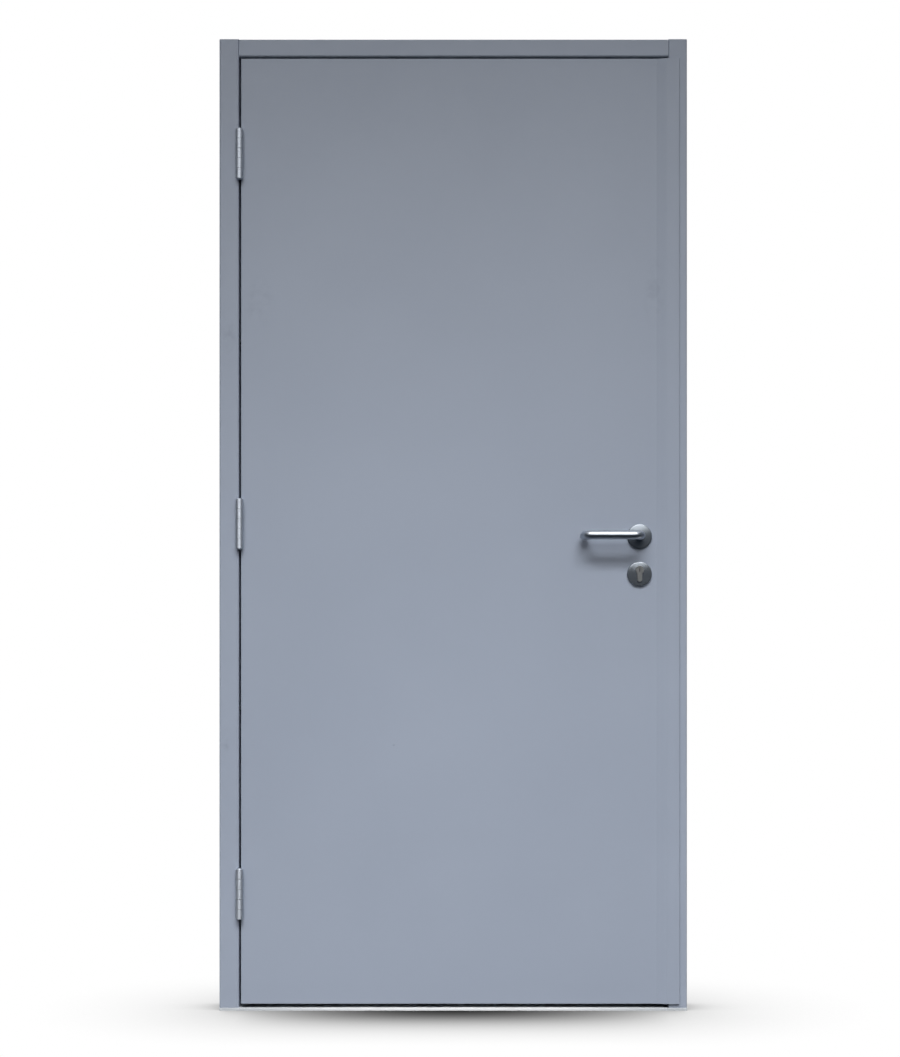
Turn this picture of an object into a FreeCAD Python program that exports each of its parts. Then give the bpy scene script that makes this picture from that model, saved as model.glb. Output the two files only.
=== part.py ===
import FreeCAD, Part
import math
import os

# Single leaf steel security door in its folded steel frame, shown shut.
# Millimetres. X runs right as seen from outside, Y into the building, Z up.
# The origin lies on the floor, midway between the jambs and midway through the frame.

# Frame
FRAME_WIDTH = 1000.0
FRAME_HEIGHT = 2077.0
FRAME_DEPTH = 100.0
FRAME_GAUGE = 2.0
FRAME_BEND = 1.5
HINGE_JAMB_FACE = 42.0
LOCK_JAMB_FACE = 40.0
HEAD_FACE = 37.0
STOP_PROJECTION = 16.0
WALL_LIP = 15.0

# Leaf and the gaps round it
LEAF_THICKNESS = 46.0
HINGE_GAP = 4.0
LOCK_GAP = 7.0
HEAD_GAP = 5.0
FLOOR_CLEARANCE = 15.0
SKIN_GAUGE = 1.5
SKIN_BEND = 0.8
INNER_LIP = 14.0
STILE_GAUGE = 2.0
STILE_FLANGE = 30.0
CAP_GAUGE = 2.0
CAP_FLANGE = 25.0
SHEET_CLEARANCE = 0.2

# Lip of the outer skin that covers the lock gap
LIP_PROUD = 5.5
LIP_REACH = 31.0
HEM_GAP = 0.5
JOGGLE_WIDTH = 21.0
JOGGLE_BEND = 6.0

# Threshold
THRESHOLD_FRONT_HEIGHT = 6.0
THRESHOLD_RISER_HEIGHT = 22.0
THRESHOLD_WALL = 2.0
THRESHOLD_BASE_REACH = 10.0
THRESHOLD_EDGE_RADIUS = 1.0

# Weather seals
SEAL_DEPTH = 6.0
SEAL_CLEARANCE = 0.3
SEAL_WIDTH = 9.0
SEAL_WALL = 1.2
SEAL_BASE = 1.6

# Hinges, a loose pin butt with five knuckles
HINGE_LOWEST_HEIGHT = 250.0
HINGE_HIGHEST_DROP = 247.5
HINGE_COUNT = 3
HINGE_LENGTH = 105.0
KNUCKLE_COUNT = 5
KNUCKLE_RADIUS = 8.0
KNUCKLE_GAP = 0.6
KNUCKLE_STANDOFF = 1.0
KNUCKLE_SWEEP_CLEARANCE = 0.6
HINGE_PLATE = 3.0
HINGE_PLATE_WIDTH = 34.0
HINGE_NOTCH_CLEARANCE = 0.4
HINGE_HOLE_RADIUS = 2.75
HINGE_HOLE_EDGE = 9.0
HINGE_HOLE_PITCH = 32.0
PIN_RADIUS = 4.0
PIN_CLEARANCE = 0.05
PIN_HEAD_RADIUS = 6.6
PIN_HEAD_TOP_RADIUS = 4.2
PIN_HEAD_HEIGHT = 2.0
BACKPLATE = 4.0
BACKPLATE_MARGIN = 8.0

# Dog bolts on the hinge edge
DOG_BOLT_COUNT = 2
DOG_BOLT_RADIUS = 6.0
DOG_BOLT_REACH = 11.0
DOG_BOLT_TIP = 2.0
DOG_BOLT_SHANK = 14.0
DOG_BOLT_KEEP_CLEARANCE = 5.0
KEEP_WALL = 1.5
KEEP_END_CLEARANCE = 5.0
KEEP_FLANGE = 5.0

# Lock
HANDLE_HEIGHT = 1013.5
BACKSET = 55.0
SPINDLE_TO_CYLINDER = 72.0
FOREND_WIDTH = 22.0
FOREND_LENGTH = 235.0
FOREND_THICKNESS = 3.0
LOCK_CASE_THICKNESS = 15.0
LOCK_CASE_LENGTH = 165.0
LOCK_CASE_DEPTH = 88.0
LOCK_CENTRE_DROP = 40.0
LOCK_POCKET_CLEARANCE = 1.0
LATCH_HEIGHT = 34.0
LATCH_WIDTH = 12.0
LATCH_LENGTH = 30.0
DEAD_BOLT_HEIGHT = 36.0
DEAD_BOLT_WIDTH = 14.0
DEAD_BOLT_LENGTH = 40.0
BOLT_CLEARANCE = 0.3
LATCH_RISE = 18.0
DEAD_BOLT_DROP = 75.0

# Strike plate and the box behind it
STRIKE_WIDTH = 26.0
STRIKE_LENGTH = 210.0
STRIKE_CLEARANCE = 0.3
KEEP_HOLE_CLEARANCE = 3.0
STRIKE_BOX_DEPTH = 26.0
STRIKE_BOX_MARGIN = 6.0
STRIKE_BOX_GAUGE = 1.5

# Lever handles on round roses
ROSE_RADIUS = 26.5
ROSE_THICKNESS = 8.0
ROSE_CROWN = 2.0
ROSE_EDGE = 2.5
BAR_RADIUS = 9.5
BAR_BEND = 16.0
BAR_STANDOFF = 48.0
LEVER_REACH = 118.5
LEVER_RETURN_CLEARANCE = 13.0
LEVER_TIP_EDGE = 2.5
NECK_CLEARANCE = 0.06
NECK_SKIN_CLEARANCE = 0.5
SPINDLE_SIDE = 8.0
SPINDLE_GRIP = 26.0
SPINDLE_HOLE_CLEARANCE = 3.0

# Euro profile cylinder
PROFILE_HEAD_RADIUS = 8.5
PROFILE_HEIGHT = 33.0
PROFILE_LEG_RADIUS = 5.0
CYLINDER_PROUD = 2.5
CYLINDER_CLEARANCE = 0.3
PLUG_RADIUS = 6.6
PLUG_CLEARANCE = 0.08
PLUG_LENGTH = 28.0
KEYWAY_WIDTH = 2.2
KEYWAY_HEIGHT = 8.6
KEYWAY_DEPTH = 12.0

# Straps behind the jambs that fix the frame to the wall
STRAP_COUNT = 4
STRAP_END_DISTANCE = 150.0
STRAP_THICKNESS = 3.0
STRAP_HEIGHT = 60.0
STRAP_HOLE_RADIUS = 5.25
SOFFIT_HOLE_RADIUS = 7.0

# Places that follow from the sizes above
HALF_WIDTH = FRAME_WIDTH / 2
OUTSIDE = -FRAME_DEPTH / 2
INSIDE = FRAME_DEPTH / 2
LEAF_BACK = OUTSIDE + LEAF_THICKNESS
STOP_FACE = LEAF_BACK + SEAL_DEPTH
HINGE_WEB = -HALF_WIDTH + HINGE_JAMB_FACE
LOCK_WEB = HALF_WIDTH - LOCK_JAMB_FACE
HEAD_WEB = FRAME_HEIGHT - HEAD_FACE
HINGE_EDGE = HINGE_WEB + HINGE_GAP
LOCK_EDGE = LOCK_WEB - LOCK_GAP
LEAF_TOP = HEAD_WEB - HEAD_GAP
LEAF_BOTTOM = FLOOR_CLEARANCE
SKIN_INSIDE = OUTSIDE + SKIN_GAUGE
BACK_SKIN_INSIDE = LEAF_BACK - SKIN_GAUGE
HINGE_SKIN_INSIDE = HINGE_EDGE + SKIN_GAUGE
JOGGLE_START = LOCK_EDGE - JOGGLE_WIDTH + 2.0 * SKIN_GAUGE
JOGGLE_END = JOGGLE_START + JOGGLE_WIDTH
LIP_EDGE = LOCK_EDGE + LIP_REACH
LIP_FACE = OUTSIDE - LIP_PROUD
LIP_BACK = LIP_FACE + 2.0 * SKIN_GAUGE + HEM_GAP
JOGGLE_ANGLE = math.atan2(LIP_PROUD, JOGGLE_WIDTH)
JOGGLE_HIDDEN_START = JOGGLE_START + SKIN_GAUGE * math.tan(JOGGLE_ANGLE / 2)
JOGGLE_HIDDEN_BEND = JOGGLE_BEND + SKIN_GAUGE
HINGE_AXIS_X = (HINGE_WEB - FRAME_GAUGE + HINGE_PLATE + HINGE_SKIN_INSIDE - HINGE_PLATE) / 2
HINGE_AXIS_Y = OUTSIDE - KNUCKLE_STANDOFF - KNUCKLE_RADIUS
HINGE_PITCH = (FRAME_HEIGHT - HINGE_HIGHEST_DROP - HINGE_LOWEST_HEIGHT) / (HINGE_COUNT - 1)
HINGE_HEIGHTS = [HINGE_LOWEST_HEIGHT + HINGE_PITCH * place for place in range(HINGE_COUNT)]
LOCK_CENTRE_Y = OUTSIDE + LEAF_THICKNESS / 2
HANDLE_X = LOCK_EDGE - BACKSET
CYLINDER_HEIGHT = HANDLE_HEIGHT - SPINDLE_TO_CYLINDER
PROFILE_DROP = PROFILE_HEIGHT / 2 - PROFILE_HEAD_RADIUS
LATCH_CENTRE = HANDLE_HEIGHT + LATCH_RISE
DEAD_BOLT_CENTRE = HANDLE_HEIGHT - DEAD_BOLT_DROP
LOCK_CENTRE = HANDLE_HEIGHT - LOCK_CENTRE_DROP
STRAP_PITCH = (FRAME_HEIGHT - 2 * STRAP_END_DISTANCE) / (STRAP_COUNT - 1)
STRAP_HEIGHTS = [STRAP_END_DISTANCE + STRAP_PITCH * place for place in range(STRAP_COUNT)]
FIXING_Y = (STOP_FACE + INSIDE) / 2
DOG_BOLT_HEIGHTS = [
    HINGE_LOWEST_HEIGHT + HINGE_PITCH * (place + 0.5) for place in range(DOG_BOLT_COUNT)
]


# Helpers

def vector(x, y, z):
    return FreeCAD.Vector(x, y, z)


def block(x0, x1, y0, y1, z0, z1):
    """Box between two corners."""
    return Part.makeBox(x1 - x0, y1 - y0, z1 - z0, vector(x0, y0, z0))


def rod(start, direction, radius, length):
    """Cylinder from a start point along a direction."""
    return Part.makeCylinder(radius, length, start, direction)


def plan(x, y):
    """Point of a section that is seen from above."""
    return vector(x, y, 0)


def side_view(y, z):
    """Point of a section that is seen from the hinge side."""
    return vector(0, y, z)


def joined(solids):
    """Fuse solids that meet into one, with no seams left in flat faces."""
    return solids[0].multiFuse(solids[1:]).removeSplitter()


def bent_edges(corners, radii, place):
    """Straight runs between corners, with a round bend of the given radius at each inner corner."""
    edges = []
    here = corners[0]
    for before, corner, after, radius in zip(corners, corners[1:], corners[2:], radii[1:]):
        arrive = (corner - before).normalize()
        leave = (after - corner).normalize()
        turn = arrive.x * leave.y - arrive.y * leave.x
        reach = radius * math.tan(arrive.getAngle(leave) / 2)
        bend_start = corner - arrive * reach
        bend_end = corner + leave * reach
        to_centre = FreeCAD.Vector(-arrive.y, arrive.x, 0) * math.copysign(radius, turn)
        centre = bend_start + to_centre
        middle = centre + (corner - centre).normalize() * radius
        if (bend_start - here).Length > 1e-6:
            edges.append(Part.makeLine(place(here.x, here.y), place(bend_start.x, bend_start.y)))
        points = [place(point.x, point.y) for point in (bend_start, middle, bend_end)]
        edges.append(Part.Arc(*points).toShape())
        here = bend_end
    edges.append(Part.makeLine(place(here.x, here.y), place(corners[-1].x, corners[-1].y)))
    return edges


def folded_sheet(seen_corners, gauge, place):
    """Cross section of bent sheet. Corners are first, second coordinate and inside bend radius.

    The corners follow the seen surface, and the metal lies to the left of them.
    """
    seen = [FreeCAD.Vector(corner[0], corner[1], 0) for corner in seen_corners]
    bends = [corner[2] for corner in seen_corners]
    runs = [(after - before).normalize() for before, after in zip(seen, seen[1:])]
    lefts = [FreeCAD.Vector(-run.y, run.x, 0) for run in runs]
    hidden = [seen[0] + lefts[0] * gauge]
    seen_radii = [0.0]
    hidden_radii = [0.0]
    for corner, bend, left, next_left, run in zip(seen[1:], bends[1:], lefts, lefts[1:], runs):
        hidden.append(corner + (left + next_left) * (gauge / (1 + left.dot(next_left))))
        turns_left = run.dot(next_left) < 0
        seen_radii.append(bend + gauge if turns_left else bend)
        hidden_radii.append(bend if turns_left else bend + gauge)
    hidden.append(seen[-1] + lefts[-1] * gauge)
    seen_radii.append(0.0)
    hidden_radii.append(0.0)
    edges = bent_edges(seen, seen_radii, place)
    edges.append(Part.makeLine(place(seen[-1].x, seen[-1].y), place(hidden[-1].x, hidden[-1].y)))
    edges.extend(bent_edges(hidden[::-1], hidden_radii[::-1], place))
    edges.append(Part.makeLine(place(hidden[0].x, hidden[0].y), place(seen[0].x, seen[0].y)))
    return Part.Face(Part.Wire(edges))


def slot_prism(x0, depth, y, z, width, length, end_radius):
    """Upright bar with rounded ends along X, such as a forend or its recess."""
    bar = block(x0, x0 + depth, y - width / 2, y + width / 2, z - length / 2, z + length / 2)
    long_edges = [
        edge for edge in bar.Edges
        if abs(edge.Vertexes[0].X - edge.Vertexes[-1].X) > depth / 2
    ]
    return bar.makeFillet(end_radius, long_edges)


# Frame

def jamb_section(face_width, side):
    """Single rebate profile of one jamb. Distances run from the wall towards the opening."""
    def place(from_wall, y):
        return vector(side * (HALF_WIDTH - from_wall), y, 0)
    stop_width = face_width + STOP_PROJECTION
    return folded_sheet([
        (0, OUTSIDE + WALL_LIP, 0),
        (0, OUTSIDE, FRAME_BEND),
        (face_width, OUTSIDE, FRAME_BEND),
        (face_width, STOP_FACE, FRAME_BEND),
        (stop_width, STOP_FACE, FRAME_BEND),
        (stop_width, INSIDE, FRAME_BEND),
        (0, INSIDE, FRAME_BEND),
        (0, INSIDE - WALL_LIP, 0),
    ], FRAME_GAUGE, place)


def jamb_length(face_width, side):
    """Jamb from the tread of the sill, which it stands on, to the top of the frame."""
    section = jamb_section(face_width, side)
    section.translate(vector(0, 0, THRESHOLD_FRONT_HEIGHT))
    return section.extrude(vector(0, 0, FRAME_HEIGHT - THRESHOLD_FRONT_HEIGHT))


def soffit_holes(face_width, side):
    """Holes in the soffit through which the fixings are driven."""
    soffit_x = side * (HALF_WIDTH - face_width - STOP_PROJECTION)
    start_x = soffit_x - side * FRAME_GAUGE
    return [
        rod(vector(start_x, FIXING_Y, height), vector(side, 0, 0), SOFFIT_HOLE_RADIUS, 3 * FRAME_GAUGE)
        for height in STRAP_HEIGHTS
    ]


def hinge_notch(z, x0, x1):
    """Room for one hinge plate in the edge it is let into."""
    half = HINGE_LENGTH / 2 + HINGE_NOTCH_CLEARANCE
    back = hinge_plate_back() + HINGE_NOTCH_CLEARANCE
    return block(x0, x1, OUTSIDE - 1, back, z - half, z + half)


def hinge_plate_back():
    return OUTSIDE + HINGE_PLATE_WIDTH


def dog_bolt_y():
    return LOCK_CENTRE_Y


def make_hinge_jamb():
    jamb = jamb_length(HINGE_JAMB_FACE, -1)
    cuts = soffit_holes(HINGE_JAMB_FACE, -1)
    for height in HINGE_HEIGHTS:
        cuts.append(hinge_notch(height, HINGE_WEB - FRAME_GAUGE, HINGE_WEB + 1))
    for height in DOG_BOLT_HEIGHTS:
        start = vector(HINGE_WEB - 2 * FRAME_GAUGE, dog_bolt_y(), height)
        radius = DOG_BOLT_RADIUS + DOG_BOLT_KEEP_CLEARANCE
        cuts.append(rod(start, vector(1, 0, 0), radius, 3 * FRAME_GAUGE))
    return jamb.cut(cuts)


def strike_recess(clearance):
    return slot_prism(
        LOCK_WEB - 1, FRAME_GAUGE + 2, LOCK_CENTRE_Y, LOCK_CENTRE,
        STRIKE_WIDTH + 2 * clearance, STRIKE_LENGTH + 2 * clearance, STRIKE_WIDTH / 2 - 1,
    )


def make_lock_jamb():
    jamb = jamb_length(LOCK_JAMB_FACE, 1)
    cuts = soffit_holes(LOCK_JAMB_FACE, 1)
    cuts.append(strike_recess(STRIKE_CLEARANCE))
    return jamb.cut(cuts)


def copes(low, high):
    """What the head loses where the stops and bends of the jambs pass it."""
    bend_y = STOP_FACE - FRAME_BEND
    return [
        block(HINGE_WEB - 1, HINGE_WEB + STOP_PROJECTION, STOP_FACE, INSIDE + 1, low, high),
        block(HINGE_WEB - 1, HINGE_WEB + FRAME_BEND, bend_y, STOP_FACE + 1, low, high),
        block(LOCK_WEB - STOP_PROJECTION, LOCK_WEB + 1, STOP_FACE, INSIDE + 1, low, high),
        block(LOCK_WEB - FRAME_BEND, LOCK_WEB + 1, bend_y, STOP_FACE + 1, low, high),
    ]


def make_head():
    """Head of the same profile, coped to pass between the stops of the jambs."""
    stop_bottom = HEAD_WEB - STOP_PROJECTION
    section = folded_sheet([
        (OUTSIDE + WALL_LIP, FRAME_HEIGHT, 0),
        (OUTSIDE, FRAME_HEIGHT, FRAME_BEND),
        (OUTSIDE, HEAD_WEB, FRAME_BEND),
        (STOP_FACE, HEAD_WEB, FRAME_BEND),
        (STOP_FACE, stop_bottom, FRAME_BEND),
        (INSIDE, stop_bottom, FRAME_BEND),
        (INSIDE, FRAME_HEIGHT, FRAME_BEND),
        (INSIDE - WALL_LIP, FRAME_HEIGHT, 0),
    ], FRAME_GAUGE, side_view)
    section.translate(vector(HINGE_WEB, 0, 0))
    head = section.extrude(vector(LOCK_WEB - HINGE_WEB, 0, 0))
    return head.cut(copes(stop_bottom - 1, FRAME_HEIGHT + 1))


def make_threshold():
    """Extruded sill: a low tread under leaf and jambs, and a riser with two chambers between the stops."""
    front = THRESHOLD_FRONT_HEIGHT
    riser = THRESHOLD_RISER_HEIGHT
    wall = THRESHOLD_WALL
    riser_left = HINGE_WEB + STOP_PROJECTION
    riser_right = LOCK_WEB - STOP_PROJECTION
    sill = joined([
        block(-HALF_WIDTH, HALF_WIDTH, OUTSIDE, INSIDE, 0, front),
        block(riser_left, riser_right, STOP_FACE, INSIDE, front, riser),
    ])
    nosing = [
        edge for edge in sill.Edges
        if edge.Length > riser_right - riser_left - 1 and edge.CenterOfMass.z > 1
        and abs(edge.CenterOfMass.y - STOP_FACE) + abs(edge.CenterOfMass.z - front) > 1
    ]
    sill = sill.makeFillet(THRESHOLD_EDGE_RADIUS, nosing)
    left = -HALF_WIDTH - 1
    right = HALF_WIDTH + 1
    middle = (STOP_FACE + INSIDE) / 2
    chambers = [
        block(left, right, STOP_FACE + wall, middle - wall / 2, wall, riser - wall),
        block(left, right, middle + wall / 2, INSIDE - wall, wall, riser - wall),
    ]
    groove_end = -THRESHOLD_BASE_REACH
    groove_middle = (OUTSIDE + groove_end) / 2
    chambers.append(block(left, right, OUTSIDE + wall, groove_middle - wall / 2, -1, front - wall))
    chambers.append(block(left, right, groove_middle + wall / 2, groove_end, -1, front - wall))
    return sill.cut(chambers)


# Seals

def seal_section(place):
    """Bulb seal: a foot that lies on the stop, and a hollow bulb towards the leaf."""
    half = SEAL_WIDTH / 2
    height = SEAL_DEPTH - SEAL_CLEARANCE
    radius = min(half, height - SEAL_BASE) - SEAL_WALL / 4
    centre = height - radius
    foot = [
        Part.makeLine(place(-half, 0), place(half, 0)),
        Part.makeLine(place(half, 0), place(half, SEAL_BASE)),
        Part.makeLine(place(half, SEAL_BASE), place(radius, centre)),
        Part.Arc(place(radius, centre), place(0, height), place(-radius, centre)).toShape(),
        Part.makeLine(place(-radius, centre), place(-half, SEAL_BASE)),
        Part.makeLine(place(-half, SEAL_BASE), place(-half, 0)),
    ]
    bore = radius - SEAL_WALL
    hole = [
        Part.Arc(place(bore, centre), place(0, centre + bore), place(-bore, centre)).toShape(),
        Part.Arc(place(-bore, centre), place(0, centre - bore), place(bore, centre)).toShape(),
    ]
    return Part.Face(Part.Wire(foot)).cut(Part.Face(Part.Wire(hole)))


def upright_seal(centre_x):
    top = HEAD_WEB - STOP_PROJECTION
    bottom = THRESHOLD_RISER_HEIGHT
    section = seal_section(lambda across, out: vector(centre_x + across, STOP_FACE - out, bottom))
    return section.extrude(vector(0, 0, top - bottom))


def level_seal(centre_z):
    left = HINGE_WEB + STOP_PROJECTION
    right = LOCK_WEB - STOP_PROJECTION
    section = seal_section(lambda across, out: vector(left, STOP_FACE - out, centre_z + across))
    return section.extrude(vector(right - left, 0, 0))


def make_hinge_side_seal():
    return upright_seal(HINGE_WEB + STOP_PROJECTION / 2 + 1)


def make_lock_side_seal():
    return upright_seal(LOCK_WEB - STOP_PROJECTION / 2 - 1)


def make_head_seal():
    return level_seal(HEAD_WEB - STOP_PROJECTION / 2 - 1)


def make_threshold_seal():
    """Seal along the riser, which meets the leaf just above the bottom cap."""
    centre = (LEAF_BOTTOM + THRESHOLD_RISER_HEIGHT) / 2 - 1
    return level_seal(centre)


# Fixings of the frame

def make_fixing_straps(side):
    """Straps across the open back of a jamb, each bored for one wall fixing."""
    straps = []
    inset = FRAME_GAUGE + FRAME_BEND + SHEET_CLEARANCE
    outer_x = side * (HALF_WIDTH - FRAME_GAUGE)
    inner_x = outer_x - side * STRAP_THICKNESS
    for height in STRAP_HEIGHTS:
        strap = block(
            min(outer_x, inner_x), max(outer_x, inner_x), OUTSIDE + inset, INSIDE - inset,
            height - STRAP_HEIGHT / 2, height + STRAP_HEIGHT / 2,
        )
        start = vector(outer_x + side, FIXING_Y, height)
        hole = rod(start, vector(-side, 0, 0), STRAP_HOLE_RADIUS, STRAP_THICKNESS + 2)
        straps.append(strap.cut(hole))
    return Part.makeCompound(straps)


def make_hinge_backplates():
    """Plates behind the jamb that carry the hinge screws."""
    plates = []
    half = HINGE_LENGTH / 2 + BACKPLATE_MARGIN
    right = HINGE_WEB - FRAME_GAUGE
    front = OUTSIDE + FRAME_GAUGE + FRAME_BEND + SHEET_CLEARANCE
    back = STOP_FACE - SHEET_CLEARANCE
    for height in HINGE_HEIGHTS:
        plate = block(right - BACKPLATE, right, front, back, height - half, height + half)
        plates.append(plate.cut(hinge_holes(height, right - BACKPLATE - 1, BACKPLATE + 2)))
    return Part.makeCompound(plates)


def make_dog_bolt_keeps():
    """Cups behind the jamb that take the dog bolts."""
    keeps = []
    inner = DOG_BOLT_RADIUS + DOG_BOLT_KEEP_CLEARANCE
    outer = inner + KEEP_WALL
    mouth = HINGE_WEB - FRAME_GAUGE
    depth = DOG_BOLT_REACH - HINGE_GAP - FRAME_GAUGE + KEEP_END_CLEARANCE
    left = vector(-1, 0, 0)
    for height in DOG_BOLT_HEIGHTS:
        start = vector(mouth, dog_bolt_y(), height)
        cup = rod(start, left, outer, depth + KEEP_WALL)
        flange = rod(start, left, outer + KEEP_FLANGE, KEEP_WALL)
        hollow = rod(start, left, inner, depth)
        keeps.append(joined([cup, flange]).cut(hollow))
    return Part.makeCompound(keeps)


def keep_holes(start_x, depth):
    """Holes that take the latch bolt and the dead bolt."""
    gap = KEEP_HOLE_CLEARANCE
    width = LATCH_WIDTH + 2 * gap
    latch = slot_prism(start_x, depth, LOCK_CENTRE_Y, LATCH_CENTRE, width, LATCH_HEIGHT + 2 * gap, gap)
    width = DEAD_BOLT_WIDTH + 2 * gap
    dead = slot_prism(start_x, depth, LOCK_CENTRE_Y, DEAD_BOLT_CENTRE, width, DEAD_BOLT_HEIGHT + 2 * gap, gap)
    return [latch, dead]


def make_strike_plate():
    plate = slot_prism(
        LOCK_WEB, FRAME_GAUGE, LOCK_CENTRE_Y, LOCK_CENTRE,
        STRIKE_WIDTH, STRIKE_LENGTH, STRIKE_WIDTH / 2 - 1,
    )
    return plate.cut(keep_holes(LOCK_WEB - 1, FRAME_GAUGE + 2))


def make_strike_box():
    """Pressed box behind the jamb, open to the strike plate."""
    start = LOCK_WEB + FRAME_GAUGE
    gauge = STRIKE_BOX_GAUGE
    half_width = STRIKE_WIDTH / 2 + STRIKE_BOX_MARGIN / 2
    half_length = STRIKE_LENGTH / 2 + STRIKE_BOX_MARGIN
    box = block(
        start, start + STRIKE_BOX_DEPTH, LOCK_CENTRE_Y - half_width, LOCK_CENTRE_Y + half_width,
        LOCK_CENTRE - half_length, LOCK_CENTRE + half_length,
    )
    hollow = block(
        start - 1, start + STRIKE_BOX_DEPTH - gauge,
        LOCK_CENTRE_Y - half_width + gauge, LOCK_CENTRE_Y + half_width - gauge,
        LOCK_CENTRE - half_length + gauge, LOCK_CENTRE + half_length - gauge,
    )
    return box.cut(hollow)


# Leaf

def joggle_inside(x):
    """Hidden surface of the outer skin where it steps out to the lip."""
    return SKIN_INSIDE - (x - JOGGLE_HIDDEN_START) * math.tan(JOGGLE_ANGLE)


def leaf_inside():
    """Section of the space between the skins, from above."""
    under_lip = HINGE_EDGE + INNER_LIP + 2 * SKIN_GAUGE
    corners = [
        vector(under_lip, BACK_SKIN_INSIDE - SKIN_GAUGE, 0),
        vector(HINGE_SKIN_INSIDE, BACK_SKIN_INSIDE - SKIN_GAUGE, 0),
        vector(HINGE_SKIN_INSIDE, SKIN_INSIDE, 0),
        vector(JOGGLE_HIDDEN_START, SKIN_INSIDE, 0),
        vector(LOCK_EDGE, joggle_inside(LOCK_EDGE), 0),
        vector(LOCK_EDGE, BACK_SKIN_INSIDE, 0),
        vector(under_lip, BACK_SKIN_INSIDE, 0),
    ]
    radii = [0, SKIN_BEND, SKIN_BEND, JOGGLE_HIDDEN_BEND, SKIN_BEND, SKIN_BEND, 0]
    edges = bent_edges(corners, radii, plan)
    edges.append(Part.makeLine(corners[-1], corners[0]))
    return Part.Face(Part.Wire(edges))


def hinge_holes(z, x0, length):
    """Screw holes that one hinge plate shares with what it is screwed to."""
    holes = []
    for step in (-1, 0, 1):
        y = hinge_plate_back() - HINGE_HOLE_EDGE
        start = vector(x0, y, z + step * HINGE_HOLE_PITCH)
        holes.append(rod(start, vector(1, 0, 0), HINGE_HOLE_RADIUS, length))
    return holes


def through_holes(y0, y1):
    """Room for the spindle and the cylinder through the leaf."""
    forward = vector(0, 1, 0)
    spindle = rod(
        vector(HANDLE_X, y0, HANDLE_HEIGHT), forward,
        SPINDLE_SIDE * math.sqrt(0.5) + SPINDLE_HOLE_CLEARANCE, y1 - y0,
    )
    return [spindle, profile_prism(CYLINDER_CLEARANCE, y0, y1)]


def make_outer_skin():
    """One sheet: a lip on the inside face, the hinge edge, the face, and the hemmed lip over the lock jamb."""
    hem = (LIP_BACK - LIP_FACE) / 2 - SKIN_GAUGE
    section = folded_sheet([
        (HINGE_EDGE + INNER_LIP, LEAF_BACK, 0),
        (HINGE_EDGE, LEAF_BACK, SKIN_BEND),
        (HINGE_EDGE, OUTSIDE, SKIN_BEND),
        (JOGGLE_START, OUTSIDE, JOGGLE_BEND),
        (JOGGLE_END, LIP_FACE, JOGGLE_BEND),
        (LIP_EDGE, LIP_FACE, hem),
        (LIP_EDGE, LIP_BACK, hem),
        (JOGGLE_END + JOGGLE_BEND, LIP_BACK, 0),
    ], SKIN_GAUGE, plan)
    section.translate(vector(0, 0, LEAF_BOTTOM))
    skin = section.extrude(vector(0, 0, LEAF_TOP - LEAF_BOTTOM))
    cuts = []
    for height in HINGE_HEIGHTS:
        cuts.append(hinge_notch(height, HINGE_EDGE - 1, HINGE_SKIN_INSIDE))
    for height in DOG_BOLT_HEIGHTS:
        start = vector(HINGE_EDGE - 1, dog_bolt_y(), height)
        cuts.append(rod(start, vector(1, 0, 0), DOG_BOLT_RADIUS + SHEET_CLEARANCE, SKIN_GAUGE + 2))
    cuts.extend(through_holes(OUTSIDE - 1, SKIN_INSIDE + 1))
    return skin.cut(cuts)


def make_inner_skin():
    """Inside face of the leaf, stepped down under the lip of the outer skin."""
    step_start = HINGE_EDGE + INNER_LIP + SHEET_CLEARANCE
    section = folded_sheet([
        (LOCK_EDGE, LEAF_BACK, 0),
        (step_start + SKIN_GAUGE, LEAF_BACK, SHEET_CLEARANCE),
        (step_start, LEAF_BACK - SKIN_GAUGE, SHEET_CLEARANCE),
        (HINGE_SKIN_INSIDE + SKIN_BEND, LEAF_BACK - SKIN_GAUGE, 0),
    ], SKIN_GAUGE, plan)
    section.translate(vector(0, 0, LEAF_BOTTOM))
    skin = section.extrude(vector(0, 0, LEAF_TOP - LEAF_BOTTOM))
    return skin.cut(through_holes(BACK_SKIN_INSIDE - 1, LEAF_BACK + 1))


def make_hinge_stile():
    """Channel inside the hinge edge, which the hinge screws bite into."""
    back = BACK_SKIN_INSIDE - SKIN_GAUGE
    section = folded_sheet([
        (HINGE_SKIN_INSIDE + STILE_FLANGE, back, 0),
        (HINGE_SKIN_INSIDE, back, SKIN_BEND),
        (HINGE_SKIN_INSIDE, SKIN_INSIDE, SKIN_BEND),
        (HINGE_SKIN_INSIDE + STILE_FLANGE, SKIN_INSIDE, 0),
    ], STILE_GAUGE, plan)
    bottom = LEAF_BOTTOM + CAP_FLANGE
    section.translate(vector(0, 0, bottom))
    stile = section.extrude(vector(0, 0, LEAF_TOP - CAP_FLANGE - bottom))
    cuts = []
    for height in HINGE_HEIGHTS:
        cuts.extend(hinge_holes(height, HINGE_SKIN_INSIDE - 1, STILE_GAUGE + 2))
    for height in DOG_BOLT_HEIGHTS:
        start = vector(HINGE_SKIN_INSIDE - 1, dog_bolt_y(), height)
        cuts.append(rod(start, vector(1, 0, 0), DOG_BOLT_RADIUS, STILE_GAUGE + 2))
    return stile.cut(cuts)


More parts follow.
